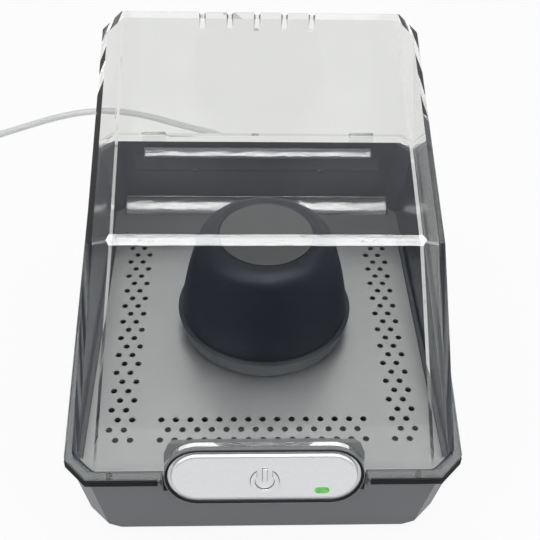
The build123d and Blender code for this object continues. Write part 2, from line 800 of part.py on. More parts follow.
board_face = -button_depth - floor_behind - housing_floor
with BuildPart() as button_board:
    with BuildSketch(button_plane.offset(board_face)):
        with Locations((0, button_board_y)):
            Rectangle(button_board_length, button_board_width)
        with Locations((button_screw_x, switch_y), (-button_screw_x, switch_y)):
            Circle(button_screw_radius + screw_gap, mode=Mode.SUBTRACT)
    extrude(amount=-button_board_thickness)
button_board.part.label = "button_board"
export_step(button_board.part, "parts/button_board.step")

switch_front = -button_depth - 0.9
with BuildPart() as tact_switch:
    with BuildSketch(button_plane.offset(board_face)):
        with Locations((0, switch_y)):
            Rectangle(switch_size, switch_size)
    extrude(amount=switch_front - board_face)
    with BuildSketch(button_plane.offset(switch_front)):
        with Locations((0, switch_y)):
            Circle(plunger_radius + running_gap)
    extrude(amount=-button_travel - 0.9, mode=Mode.SUBTRACT)
tact_switch.part.label = "tact_switch"
export_step(tact_switch.part, "parts/tact_switch.step")

with BuildPart() as switch_plunger:
    with BuildSketch(button_plane.offset(0.1 - button_depth)):
        with Locations((0, switch_y)):
            Circle(plunger_radius)
    extrude(amount=-1.7)
switch_plunger.part.label = "switch_plunger"
export_step(switch_plunger.part, "parts/switch_plunger.step")

with BuildPart() as status_led:
    with BuildSketch(button_plane.offset(board_face)):
        with Locations((lens_x, lens_y)):
            Circle(light_radius)
    extrude(amount=1.9)
    fillet(status_led.faces().sort_by(Axis.Y)[0].edges(), radius=light_radius - 0.3)
status_led.part.label = "status_led"
export_step(status_led.part, "parts/status_led.step")

# ================================================================== fan
with BuildPart() as fan_frame:
    with BuildSketch(Plane.XY.offset(fan_low)):
        with Locations((0, fan_y)):
            RectangleRounded(fan_size, fan_size, 3)
            Circle(fan_bore, mode=Mode.SUBTRACT)
            with GridLocations(fan_pitch, fan_pitch, 2, 2):
                Circle(screw_radius + 0.3, mode=Mode.SUBTRACT)
    extrude(amount=fan_depth)
    with BuildSketch(Plane.XY.offset(fan_low)):
        with Locations((0, fan_y)):
            Circle(fan_hub)
            Rectangle(2 * fan_bore + 1, 2.4)
            Rectangle(2.4, 2 * fan_bore + 1)
    extrude(amount=1.6)
    with BuildSketch(Plane.XY.offset(fan_low)):
        with Locations((0, fan_y)):
            Circle(fan_hub - 2.4)
    extrude(amount=fan_depth - 2.8)
    with Locations((0, fan_y, fan_low + 1.0)):
        Cylinder(
            shaft_radius + pin_gap,
            fan_depth,
            align=(Align.CENTER, Align.CENTER, Align.MIN),
            mode=Mode.SUBTRACT,
        )
fan_frame.part.label = "fan_frame"
export_step(fan_frame.part, "parts/fan_frame.step")

with BuildPart() as fan_rotor:
    with BuildSketch(Plane.XY.offset(fan_low + 2.2)):
        with Locations((0, fan_y)):
            Circle(fan_hub)
    extrude(amount=fan_depth - 2.7)
    with BuildSketch(Plane.XY.offset(fan_low + 2.2)):
        with Locations((0, fan_y)):
            Circle(fan_hub - 1.2)
    extrude(amount=fan_depth - 3.9, mode=Mode.SUBTRACT)
    with Locations((0, fan_y, fan_low + 1.6)):
        Cylinder(shaft_radius, fan_depth - 2.2, align=(Align.CENTER, Align.CENTER, Align.MIN))
    blade_middle = fan_low + fan_depth / 2 + 0.8
    for blade in range(blade_count):
        turn = 2 * math.pi * blade / blade_count
        outward = (math.cos(turn), math.sin(turn), 0)
        across = (-math.sin(turn), math.cos(turn), 0)
        start = fan_hub - 0.6
        root = Plane(
            origin=(outward[0] * start, outward[1] * start + fan_y, blade_middle),
            x_dir=across,
            z_dir=outward,
        )
        with BuildSketch(root):
            Rectangle(9.0, 0.8, rotation=38)
        extrude(amount=fan_bore - start - 1.4)
fan_rotor.part.label = "fan_rotor"
export_step(fan_rotor.part, "parts/fan_rotor.step")

# ================================================================== heater over the fan
window_x = 30.0
window_y = 26.0
with BuildPart() as heater_frame:
    with BuildSketch(Plane.XY.offset(fan_high)):
        with Locations((0, fan_y)):
            RectangleRounded(fan_size, fan_size, 3)
            Rectangle(window_x + 0.4, window_y + 0.4, mode=Mode.SUBTRACT)
            with GridLocations(fan_pitch, fan_pitch, 2, 2):
                Circle(screw_radius + 0.3, mode=Mode.SUBTRACT)
    extrude(amount=heater_depth)
    with BuildSketch(Plane.XY.offset(fan_high)):
        with Locations((0, fan_y + window_y / 2), (0, fan_y - window_y / 2)):
            Rectangle(window_x, 1.6)
    extrude(amount=1.0)
heater_frame.part.label = "heater_frame"
export_step(heater_frame.part, "parts/heater_frame.step")

ceramic = 2.4
fin_low = fan_high + 1.0
fin_height = heater_depth - 1.6
fin_bank = (window_y - ceramic) / 2
fin_pitch = 2.0
fin_count = 14
with BuildPart() as heater_fins:
    for side in (-1, 1):
        bank_y = fan_y + side * (ceramic + fin_bank) / 2
        with BuildSketch(Plane.XY.offset(fin_low)):
            with Locations((0, bank_y - fin_bank / 2 + 0.5), (0, bank_y + fin_bank / 2 - 0.5)):
                Rectangle(window_x, 1.0)
            with Locations((0, bank_y)):
                with GridLocations(fin_pitch, 1, fin_count, 1):
                    Rectangle(0.5, fin_bank - 0.5)
        extrude(amount=fin_height)
heater_fins.part.label = "heater_fins"
export_step(heater_fins.part, "parts/heater_fins.step")

with BuildPart() as heater_ceramic:
    with BuildSketch(Plane.XY.offset(fin_low)):
        with Locations((0, fan_y)):
            Rectangle(window_x - 1, ceramic)
    extrude(amount=fin_height)
heater_ceramic.part.label = "heater_ceramic"
export_step(heater_ceramic.part, "parts/heater_ceramic.step")

cutout_radius = 1.9
with BuildPart() as thermal_cutout:
    with BuildSketch(Plane.YZ.offset(-6)):
        with Locations((fan_y + window_y / 2 + 4, heater_high + cutout_radius)):
            Circle(cutout_radius)
    extrude(amount=12)
thermal_cutout.part.label = "thermal_cutout"
export_step(thermal_cutout.part, "parts/thermal_cutout.step")

with BuildPart() as fan_screws:
    with BuildSketch(Plane.XY.offset(foot_height + 1.4)):
        with Locations((0, fan_y)):
            with GridLocations(fan_pitch, fan_pitch, 2, 2):
                Circle(screw_radius)
    extrude(amount=heater_high - foot_height - 1.4)
    with BuildSketch(Plane.XY.offset(heater_high)):
        with Locations((0, fan_y)):
            with GridLocations(fan_pitch, fan_pitch, 2, 2):
                Circle(screw_head)
    extrude(amount=1.5)
    with BuildSketch(Plane.XY.offset(heater_high + 1.5)):
        with Locations((0, fan_y)):
            with GridLocations(fan_pitch, fan_pitch, 2, 2):
                Rectangle(2.8, 0.7)
                Rectangle(0.7, 2.8)
    extrude(amount=-0.8, mode=Mode.SUBTRACT)
fan_screws.part.label = "fan_screws"
export_step(fan_screws.part, "parts/fan_screws.step")

# ================================================================== control board and lamp driver
with BuildPart() as control_board:
    with BuildSketch(Plane.XY.offset(board_low)):
        with Locations((0, board_y)):
            Rectangle(board_length, board_width)
            with GridLocations(board_length - 8, board_width - 8, 2, 2):
                Circle(screw_radius + screw_gap, mode=Mode.SUBTRACT)
    extrude(amount=board_thickness)
control_board.part.label = "control_board"
export_step(control_board.part, "parts/control_board.step")

with BuildPart() as board_parts:
    with BuildSketch(Plane.XY.offset(board_high)):
        with Locations((-14, board_y + 8), (-14, board_y - 2)):
            Circle(3.2)
    extrude(amount=8)
    with BuildSketch(Plane.XY.offset(board_high)):
        with Locations((2, board_y)):
            Rectangle(9, 7)
        with Locations((16, board_y + 7), (16, board_y - 4)):
            Rectangle(7, 6)
    extrude(amount=2.4)
    with BuildSketch(Plane.XY.offset(board_high)):
        with Locations((0, board_y + 13), (0, board_y - 13)):
            Rectangle(14, 5)
    extrude(amount=6)
board_parts.part.label = "board_parts"
export_step(board_parts.part, "parts/board_parts.step")

with BuildPart() as lamp_driver:
    with BuildSketch(Plane.XY.offset(driver_low)):
        with Locations((driver_x, driver_y)):
            Rectangle(driver_length, driver_width)
            with GridLocations(driver_length - 7, 1, 2, 1):
                Circle(screw_radius + screw_gap, mode=Mode.SUBTRACT)
    extrude(amount=board_thickness)
    with BuildSketch(Plane.XY.offset(driver_low + board_thickness)):
        with Locations((driver_x, driver_y)):
            Rectangle(15, 12)
    extrude(amount=9)
lamp_driver.part.label = "lamp_driver"
export_step(lamp_driver.part, "parts/lamp_driver.step")

with BuildPart() as board_screws:
    with BuildSketch(Plane.XY.offset(board_high - 6.5)):
        with Locations((0, board_y)):
            with GridLocations(board_length - 8, board_width - 8, 2, 2):
                Circle(screw_radius)
    extrude(amount=6.5)
    with BuildSketch(Plane.XY.offset(board_high)):
        with Locations((0, board_y)):
            with GridLocations(board_length - 8, board_width - 8, 2, 2):
                Circle(screw_head)
    extrude(amount=1.4)
    with BuildSketch(Plane.XY.offset(driver_low + board_thickness - 5.5)):
        with Locations((driver_x, driver_y)):
            with GridLocations(driver_length - 7, 1, 2, 1):
                Circle(screw_radius)
    extrude(amount=5.5)
    with BuildSketch(Plane.XY.offset(driver_low + board_thickness)):
        with Locations((driver_x, driver_y)):
            with GridLocations(driver_length - 7, 1, 2, 1):
                Circle(screw_head)
    extrude(amount=1.4)
board_screws.part.label = "board_screws"
export_step(board_screws.part, "parts/board_screws.step")

# ================================================================== lamp in the rear wall
with BuildPart() as lamp_window:
    with BuildSketch(inner_wall.offset(pane_thickness - pane_recess)):
        with Locations((0, (pane_low + pane_high) / 2 - window_z)):
            Rectangle(pane_length - 2 * pane_gap, pane_high - pane_low - 2 * pane_gap)
    extrude(amount=-pane_thickness)
lamp_window.part.label = "lamp_window"
export_step(lamp_window.part, "parts/lamp_window.step")

with BuildPart() as uv_lamp:
    with BuildSketch(Plane.YZ.offset(-lamp_length / 2)):
        with Locations((lamp_y, window_z)):
            Circle(lamp_radius)
    extrude(amount=lamp_length)
    fillet(uv_lamp.edges().filter_by(GeomType.CIRCLE), radius=1.2)
uv_lamp.part.label = "uv_lamp"
export_step(uv_lamp.part, "parts/uv_lamp.step")

holder_width = 6.0
holder_height = 2 * (housing_high - housing_wall - window_z) - 0.4
holder_reach = 1.7  # lamp's middle to the holder's open side
with BuildPart() as lamp_holders:
    for side in (-1, 1):
        holder_x = side * (lamp_length / 2 - 3.5)
        with BuildSketch(Plane.YZ.offset(holder_x - holder_width / 2)):
            with Locations(((lamp_y - holder_reach + housing_inner_y) / 2, window_z)):
                Rectangle(housing_inner_y - lamp_y + holder_reach, holder_height)
            with Locations((lamp_y, window_z)):
                Circle(lamp_radius, mode=Mode.SUBTRACT)
        extrude(amount=holder_width)
lamp_holders.part.label = "lamp_holders"
export_step(lamp_holders.part, "parts/lamp_holders.step")

reflector_radius = 2.25
with BuildPart() as lamp_reflector:
    with BuildSketch(Plane.YZ.offset(-lamp_length / 2 + 7.5)):
        with Locations((lamp_y, window_z)):
            Circle(reflector_radius + 0.35)
            Circle(reflector_radius, mode=Mode.SUBTRACT)
            Rectangle(12, 12, align=(Align.MAX, Align.CENTER), mode=Mode.SUBTRACT)
    extrude(amount=lamp_length - 15)
lamp_reflector.part.label = "lamp_reflector"
export_step(lamp_reflector.part, "parts/lamp_reflector.step")

with BuildPart() as lamp_housing:
    with BuildSketch(Plane.XZ.offset(-housing_back_y)):
        with Locations((0, (housing_low + housing_high) / 2)):
            RectangleRounded(2 * housing_half, housing_high - housing_low, 4)
    extrude(amount=rear_depth)
    fillet(lamp_housing.faces().sort_by(Axis.Y)[-1].edges(), radius=2.5)
    with BuildSketch(Plane.XZ.offset(-housing_back_y + housing_wall)):
        with Locations((0, (housing_low + housing_high) / 2)):
            Rectangle(2 * (housing_half - housing_wall), housing_high - housing_low - 2 * housing_wall)
    extrude(amount=rear_depth, mode=Mode.SUBTRACT)
    # screw ears, then the face that lies on the tub's leaning wall
    with BuildSketch(Plane.XZ.offset(-rear_wall_y(window_z) - ear_thickness)):
        with Locations((housing_half + ear / 2 - 1, ear_z), (-housing_half - ear / 2 + 1, ear_z)):
            RectangleRounded(ear + 2.5, ear_height, 1.5)
        with Locations((housing_half + ear / 2, ear_z), (-housing_half - ear / 2, ear_z)):
            Circle(screw_radius + screw_gap, mode=Mode.SUBTRACT)
    extrude(amount=6)
    with BuildSketch(Plane.XZ.offset(-housing_back_y + housing_wall)):
        with Locations((0, (housing_low + housing_high) / 2)):
            Rectangle(2 * (housing_half - housing_wall), housing_high - housing_low - 2 * housing_wall)
    extrude(amount=rear_depth, mode=Mode.SUBTRACT)
    split(bisect_by=inner_wall.offset(-wall * math.cos(lamp_lean)), keep=Keep.BOTTOM)
lamp_housing.part.label = "lamp_housing"
export_step(lamp_housing.part, "parts/lamp_housing.step")

ear_face = rear_wall_y(window_z) + ear_thickness
with BuildPart() as housing_screws:
    for side in (-1, 1):
        screw_x = side * (housing_half + ear / 2)
        with BuildSketch(Plane.XZ.offset(-ear_face)):
            with Locations((screw_x, ear_z)):
                Circle(screw_radius)
        extrude(amount=ear_thickness + 1.4)
        with BuildSketch(Plane.XZ.offset(-ear_face)):
            with Locations((screw_x, ear_z)):
                Circle(screw_head - 0.1)
        extrude(amount=-1.4)
        with BuildSketch(Plane.XZ.offset(-ear_face - 1.4)):
            with Locations((screw_x, ear_z)):
                Rectangle(2.6, 0.6)
                Rectangle(0.6, 2.6)
        extrude(amount=0.7, mode=Mode.SUBTRACT)
housing_screws.part.label = "housing_screws"
export_step(housing_screws.part, "parts/housing_screws.step")

# ================================================================== hinge pins and the lid's magnet
pin_length = lid_knuckle + 2 * tub_knuckle + 2 * knuckle_gap
with BuildPart() as hinge_pins:
    for side in (-1, 1):
        with BuildSketch(Plane.YZ.offset(side * hinge_spread - pin_length / 2)):
            with Locations((hinge_y, hinge_z)):
                Circle(pin_radius)
        extrude(amount=pin_length)
hinge_pins.part.label = "hinge_pins"
export_step(hinge_pins.part, "parts/hinge_pins.step")

# ================================================================== power jack, plug and strain relief
jack_inner_y = rear_wall_y(jack_z) - wall - 0.4
jack_outer_y = rear_wall_y(jack_z) + 0.6
with BuildPart() as dc_jack:
    with BuildSketch(Plane.XZ.offset(-jack_inner_y)):
        with Locations((0, jack_z)):
            Rectangle(9.4, 10.6)
    extrude(amount=13)
    with BuildSketch(Plane.XZ.offset(-jack_inner_y)):
        with Locations((0, jack_z)):
            Circle(jack_nose)
    extrude(amount=jack_inner_y - jack_outer_y)
    with BuildSketch(Plane.XZ.offset(-jack_outer_y)):
        with Locations((0, jack_z)):
            Circle(barrel_bore)
    extrude(amount=11, mode=Mode.SUBTRACT)
    with BuildSketch(Plane.XZ.offset(-jack_inner_y + 11)):
        with Locations((0, jack_z)):
            Circle(0.95)
    extrude(amount=-9)
dc_jack.part.label = "dc_jack"
export_step(dc_jack.part, "parts/dc_jack.step")

# ================================================================== pedestal that carries the hearing aids
ring_top = tray_top + ring_height
dome_top = tray_top + dome_height
pedestal_axis = Axis((pedestal_x, pedestal_y, 0), (0, 0, 1))
pedestal_section = Plane(origin=(pedestal_x, pedestal_y, 0), x_dir=(1, 0, 0), z_dir=(0, -1, 0))

with BuildPart() as pedestal_ring:
    with BuildSketch(pedestal_section):
        with BuildLine():
            Polyline(
                (pedestal_radius - 4.5, tray_top),
                (pedestal_radius - 0.5, tray_top),
                (pedestal_radius, tray_top + 0.5),
                (pedestal_radius + 1.4, ring_top - 0.8),
                (pedestal_radius + 0.8, ring_top),
                (pedestal_radius - 4.5, ring_top),
                close=True,
            )
        make_face()
    revolve(axis=pedestal_axis)
    # pegs that keep the pedestal in its place on the tray
    with BuildSketch(Plane.XY.offset(tray_top + 1)):
        with Locations((pedestal_x, pedestal_y)):
            with PolarLocations(peg_circle, peg_count):
                Circle(peg_radius)
    extrude(amount=-tray_thickness - 0.9)
pedestal_ring.part.label = "pedestal_ring"
export_step(pedestal_ring.part, "parts/pedestal_ring.step")

with BuildPart() as pedestal_body:
    with BuildSketch(pedestal_section):
        with BuildLine():
            dome_side = ThreePointArc(
                (dome_radius, ring_top),
                ((dome_radius + shoulder_radius) / 2 + 0.9, (ring_top + tray_top + shoulder_height) / 2),
                (shoulder_radius, tray_top + shoulder_height),
            )
            TangentArc(dome_side @ 1, (top_radius, dome_top), tangent=dome_side % 1)
            Polyline(
                (top_radius, dome_top),
                (pad_radius + 0.6, dome_top - 0.3),
                (pad_radius, dome_top - 0.9),
                (0, dome_top - 0.9),
                (0, ring_top),
                (dome_radius, ring_top),
            )
        make_face()
    revolve(axis=pedestal_axis)
    # hollow from below
    with BuildSketch(pedestal_section):
        with BuildLine():
            Polyline(
                (0, ring_top),
                (dome_radius - dome_wall, ring_top),
                (shoulder_radius - dome_wall - 0.6, tray_top + shoulder_height - 3),
                (pad_radius, dome_top - 0.9 - dome_wall),
                (0, dome_top - 0.9 - dome_wall),
                close=True,
            )
        make_face()
    revolve(axis=pedestal_axis, mode=Mode.SUBTRACT)
pedestal_body.part.label = "pedestal_body"
export_step(pedestal_body.part, "parts/pedestal_body.step")

with BuildPart() as pedestal_pad:
    with BuildSketch(Plane.XY.offset(dome_top - 0.9)):
        with Locations((pedestal_x, pedestal_y)):
            Circle(pad_radius - 0.1)
    extrude(amount=0.6)
pedestal_pad.part.label = "pedestal_pad"
export_step(pedestal_pad.part, "parts/pedestal_pad.step")

# ================================================================== lid bumpers, lid magnet and its sensor
with BuildPart() as lid_bumpers:
    with BuildSketch(rim_plane(-bumper_depth)):
        for place_x, along in bumper_places:
            with Locations((place_x, along), (-place_x, along)):
                Circle(bumper_radius)
    extrude(amount=bumper_depth + lid_gap - 0.05)
lid_bumpers.part.label = "lid_bumpers"
export_step(lid_bumpers.part, "parts/lid_bumpers.step")

with BuildPart() as lid_magnet:
    with BuildSketch(Plane.YZ.offset(magnet_x)):
        with Locations((magnet_y, magnet_z)):
            Circle(magnet_radius)
    extrude(amount=magnet_depth)
lid_magnet.part.label = "lid_magnet"
export_step(lid_magnet.part, "parts/lid_magnet.step")

with BuildPart() as lid_sensor:
    with BuildSketch(Plane.XY.offset(housing_high - housing_wall - 4.0)):
        with Locations((0.5 - housing_half + housing_wall + 2.5, housing_inner_y - 1.6)):
            Rectangle(4.4, 3.2)
    extrude(amount=4.0)
lid_sensor.part.label = "lid_sensor"
export_step(lid_sensor.part, "parts/lid_sensor.step")

# ================================================================== leads between the boards
lead_radius = 0.6
lead_z = board_high + 3.0
board_front = board_y - 15.5
board_back = board_y + 15.5
fan_back = fan_y + fan_size / 2
jack_front = jack_inner_y - 13.0
driver_front = driver_y - 6.0
lead_routes = (
    ((-4, board_front, lead_z), (-4, fan_back, lead_z)),
    ((-2, board_front, lead_z), (-2, fan_back, lead_z)),
    ((3, board_front, lead_z), (3, board_front - 7, lead_z), (3, board_front - 7, 21), (3, fan_back, 21)),
    ((-1.5, board_back, lead_z), (-1.5, jack_front, lead_z)),
    ((0.5, board_back, lead_z), (0.5, jack_front, lead_z)),
    (
        (5, board_back, lead_z),
        (5, board_back + 5, lead_z),
        (24, board_back + 5, lead_z),
        (24, driver_front, lead_z),
    ),
)
with BuildPart() as leads:
    for route in lead_routes:
        with BuildLine() as lead_line:
            if len(route) > 2:
                FilletPolyline(*route, radius=2.4)
            else:
                Line(*route)
        with BuildSketch(lead_line.line ^ 0):
            Circle(lead_radius)
        sweep(path=lead_line.line)
leads.part.label = "leads"
export_step(leads.part, "parts/leads.step")

# Points chosen where the lead falls from the plug and lies on the table.
cord_route = (
    (0, 108, 19),
    (0, 121, 18),
    (0.6, 134, 12),
    (0.4, 146, 5),
    (-2, 157.5, 1.9),
    (-10, 168.5, 1.75),
    (-24, 176.5, 1.75),
    (-41, 183.5, 1.75),
    (-57, 191.5, 1.75),
    (-73, 196.8, 1.75),
    (-91, 197.8, 1.75),
    (-109, 191.5, 1.75),
    (-126, 181, 1.75),
    (-142, 170.5, 1.85),
    (-160, 158.7, 2.15),
)

# ================================================================== plug and strain relief
plug_face = jack_outer_y + 0.1
plug_end = plug_face + plug_length
relief_end = cord_route[0][1]
with BuildPart() as dc_plug:
    with BuildSketch(Plane.XZ.offset(-plug_face)):
        with Locations((0, jack_z)):
            Circle(plug_radius)
    extrude(amount=-plug_length)
    fillet(dc_plug.edges().filter_by(GeomType.CIRCLE), radius=0.8)
    with BuildSketch(Plane.XZ.offset(-plug_face - 1)):
        with Locations((0, jack_z)):
            Circle(barrel_bore - 0.08)
    extrude(amount=10)
    with BuildSketch(Plane.XZ.offset(-plug_face + 9)):
        with Locations((0, jack_z)):
            Circle(1.05)
    extrude(amount=-9, mode=Mode.SUBTRACT)
    # grip rings
    for ring in range(5):
        with BuildSketch(Plane.XZ.offset(-plug_face - 6 - 2.4 * ring)):
            with Locations((0, jack_z)):
                Circle(plug_radius + 1)
                Circle(plug_radius - 0.35, mode=Mode.SUBTRACT)
        extrude(amount=-1.0, mode=Mode.SUBTRACT)
dc_plug.part.label = "dc_plug"
export_step(dc_plug.part, "parts/dc_plug.step")

with BuildPart() as cord_relief:
    with BuildSketch(Plane.XZ.offset(-plug_end)):
        with Locations((0, jack_z)):
            Circle(3.1)
    with BuildSketch(Plane.XZ.offset(-relief_end)):
        with Locations((0, jack_z)):
            Circle(2.2)
    loft()
    for ring in range(4):
        with BuildSketch(Plane.XZ.offset(-plug_end - 2.2 - 2.8 * ring)):
            with Locations((0, jack_z)):
                Circle(4)
                Circle(2.05, mode=Mode.SUBTRACT)
        extrude(amount=-1.2, mode=Mode.SUBTRACT)
cord_relief.part.label = "cord_relief"
export_step(cord_relief.part, "parts/cord_relief.step")

# ================================================================== cord: free stretch, tied coil, tail
def corner_radii(route):
    """The radius of each corner's arc: 0.45 of the shorter run over the tangent of half the turn."""
    radii = []
    for before, here, after in zip(route, route[1:], route[2:]):
        come = Vector(*here) - Vector(*before)
        go = Vector(*after) - Vector(*here)
        half_turn = math.radians(come.get_angle(go)) / 2
        radii.append(0.45 * min(come.length, go.length) / math.tan(half_turn))
    return radii


cord_radii = corner_radii(cord_route)
print("cord radii", [round(radius, 1) for radius in cord_radii])
with BuildPart() as cord_lead:
    with BuildLine() as cord_line:
        FilletPolyline(*cord_route, radius=cord_radii)
    with BuildSketch(cord_line.line ^ 0):
        Circle(cord_radius)
    sweep(path=cord_line.line)
cord_lead.part.label = "cord_lead"
export_step(cord_lead.part, "parts/cord_lead.step")

coil_x = -171.4
coil_y = 176.2
coil_turn = coil_radius + (coil_rings - 1) * cord_radius  # outermost turn's radius
coil_half = coil_rings * cord_radius + 0.1
coil_height = coil_layers * 2 * cord_radius + 0.3
coil_section = Plane(origin=(coil_x, coil_y, 0), x_dir=(1, 0, 0), z_dir=(0, -1, 0))
with BuildPart() as cord_coil:
    with BuildSketch(coil_section):
        with Locations((coil_radius, tie_thickness + coil_height / 2)):
            RectangleRounded(2 * coil_half, coil_height, 1.4)
    revolve(axis=Axis((coil_x, coil_y, 0), (0, 0, 1)))
cord_coil.part.label = "cord_coil"
export_step(cord_coil.part, "parts/cord_coil.step")

tie_width = 5.0
with BuildPart() as cord_tie:
    with BuildSketch(Plane.YZ.offset(coil_x - tie_width / 2)):
        with Locations((coil_y + coil_radius, tie_thickness + coil_height / 2)):
            Rectangle(2 * (coil_half + tie_thickness + 0.7), coil_height + 2 * tie_thickness)
            Rectangle(2 * (coil_half + 0.7), coil_height, mode=Mode.SUBTRACT)
    extrude(amount=tie_width)
cord_tie.part.label = "cord_tie"
export_step(cord_tie.part, "parts/cord_tie.step")

tail_y = coil_y - coil_turn
tail_z = tie_thickness + coil_height - cord_radius - 0.15
tail_length = 22.0
relief_x = coil_x - tail_length
with BuildPart() as cord_tail:
    with BuildSketch(Plane.YZ.offset(relief_x)):
        with Locations((tail_y, tail_z)):
            Circle(cord_radius)
    extrude(amount=tail_length - 5.0)
cord_tail.part.label = "cord_tail"
export_step(cord_tail.part, "parts/cord_tail.step")

adapter_relief_length = 11.0
adapter_x = relief_x - adapter_relief_length
with BuildPart() as adapter_relief:
    with BuildSketch(Plane.YZ.offset(adapter_x)):
        with Locations((tail_y, tail_z)):
            Circle(3.2)
    with BuildSketch(Plane.YZ.offset(relief_x)):
        with Locations((tail_y, tail_z)):
            Circle(2.2)
    loft()
    for ring in range(3):
        with BuildSketch(Plane.YZ.offset(adapter_x + 2.0 + 2.8 * ring)):
            with Locations((tail_y, tail_z)):
                Circle(4)
                Circle(2.05, mode=Mode.SUBTRACT)
        extrude(amount=1.2, mode=Mode.SUBTRACT)
adapter_relief.part.label = "adapter_relief"
export_step(adapter_relief.part, "parts/adapter_relief.step")

with BuildPart() as power_adapter:
    with BuildSketch(Plane.YZ.offset(adapter_x)):
        with Locations((tail_y, adapter_height / 2)):
            RectangleRounded(adapter_width, adapter_height, 4)
    extrude(amount=-adapter_length)
    fillet(power_adapter.faces().sort_by(Axis.X)[0].edges(), radius=1.6)
    fillet(power_adapter.faces().sort_by(Axis.X)[-1].edges(), radius=1.6)
    # parting groove round the shell
    with BuildSketch(Plane.YZ.offset(adapter_x - 11)):
        with Locations((tail_y, adapter_height / 2)):
            Rectangle(adapter_width + 2, adapter_height + 2)
            RectangleRounded(adapter_width - 0.8, adapter_height - 0.8, 3.6, mode=Mode.SUBTRACT)
    extrude(amount=-0.7, mode=Mode.SUBTRACT)
power_adapter.part.label = "power_adapter"
export_step(power_adapter.part, "parts/power_adapter.step")

blade_spacing = 12.7
blade_length = 16.0
with BuildPart() as adapter_blades:
    with BuildSketch(Plane.YZ.offset(adapter_x - adapter_length)):
        with Locations((tail_y, adapter_height / 2)):
            with GridLocations(blade_spacing, 1, 2, 1):
                Rectangle(1.5, 6.3)
    extrude(amount=-blade_length)
    blade_tips = adapter_blades.faces().sort_by(Axis.X)[:2].edges().filter_by(Axis.Z)
    chamfer(blade_tips, length=0.4)
    with BuildSketch(Plane.XZ.offset(-tail_y)):
        with Locations((adapter_x - adapter_length - blade_length + 4, adapter_height / 2)):
            Circle(1.5)
    extrude(amount=adapter_width / 2, both=True, mode=Mode.SUBTRACT)
adapter_blades.part.label = "adapter_blades"
export_step(adapter_blades.part, "parts/adapter_blades.step")
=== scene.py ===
import bpy
import json
import math
from mathutils import Matrix, Vector


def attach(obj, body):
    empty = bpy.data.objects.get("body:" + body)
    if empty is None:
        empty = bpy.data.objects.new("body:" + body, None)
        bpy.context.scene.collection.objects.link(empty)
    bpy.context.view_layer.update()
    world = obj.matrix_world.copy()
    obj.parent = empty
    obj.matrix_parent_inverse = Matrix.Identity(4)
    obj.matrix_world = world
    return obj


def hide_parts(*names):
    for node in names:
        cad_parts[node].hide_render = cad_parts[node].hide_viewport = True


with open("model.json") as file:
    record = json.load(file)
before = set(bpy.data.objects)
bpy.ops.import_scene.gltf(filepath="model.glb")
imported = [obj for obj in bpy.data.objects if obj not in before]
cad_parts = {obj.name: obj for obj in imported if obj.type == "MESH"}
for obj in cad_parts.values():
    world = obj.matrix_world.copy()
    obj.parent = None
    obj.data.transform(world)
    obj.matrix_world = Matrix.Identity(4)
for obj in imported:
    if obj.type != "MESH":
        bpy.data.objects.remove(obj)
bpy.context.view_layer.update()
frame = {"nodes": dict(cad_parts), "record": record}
MM = 0.001


def mm(x, y, z):
    """A point given in millimetres, in the object's own frame."""
    return Vector((x, y, z)) * MM


# ---------------------------------------------------------------- camera
SENSOR_WIDTH = 36.0
NEAREST = 0.01  # metres in front of the camera
EYE = mm(-9.3, -250.4, 281.9)
TARGET = mm(4.65, 27.2, 33.0)
CAMERA_ROLL = math.radians(1.944)
LENS = 60.62


def make_camera():
    """The camera, rolled a little about its own line of sight."""
    camera = bpy.data.objects.new("camera", bpy.data.cameras.new("camera"))
    bpy.context.scene.collection.objects.link(camera)
    camera.data.lens = LENS
    camera.data.sensor_width = SENSOR_WIDTH
    camera.data.clip_start = NEAREST
    aim = (TARGET - EYE).to_track_quat("-Z", "Y").to_matrix().to_4x4()
    camera.matrix_world = Matrix.Translation(EYE) @ aim @ Matrix.Rotation(CAMERA_ROLL, 4, "Z")
    bpy.context.scene.camera = camera


make_camera()

# ---------------------------------------------------------------- cord
CORD_DIAMETER = 3.5
CORD_ROUTE = (
    (0, 108, 19),
    (0, 121, 18),
    (0.6, 134, 12),
    (0.4, 146, 5),
    (-2, 157.5, 1.9),
    (-10, 168.5, 1.75),
    (-24, 176.5, 1.75),
    (-41, 183.5, 1.75),
    (-57, 191.5, 1.75),
    (-73, 196.8, 1.75),
    (-91, 197.8, 1.75),
    (-109, 191.5, 1.75),
    (-126, 181, 1.75),
    (-142, 170.5, 1.85),
    (-160, 158.7, 2.15),
)
COIL_CENTRE = (-171.4, 176.2)
COIL_RADIUS = 19.0
COIL_TURNS = 8
COIL_LOW = 2.2
COIL_POINTS = 16  # control points in each turn
COIL_RINGS = (1, -1, -1, 1, 1, -1, -1, 1, 1)  # the outer or inner ring that each turn lies in
RING_CHANGE = 0.25  # each change of ring takes this share of a turn
TAIL_LEAD = 8.0  # where the tail leaves the coil, to the left of its middle
TAIL_END = (-193.4, 155.45, 12.8)


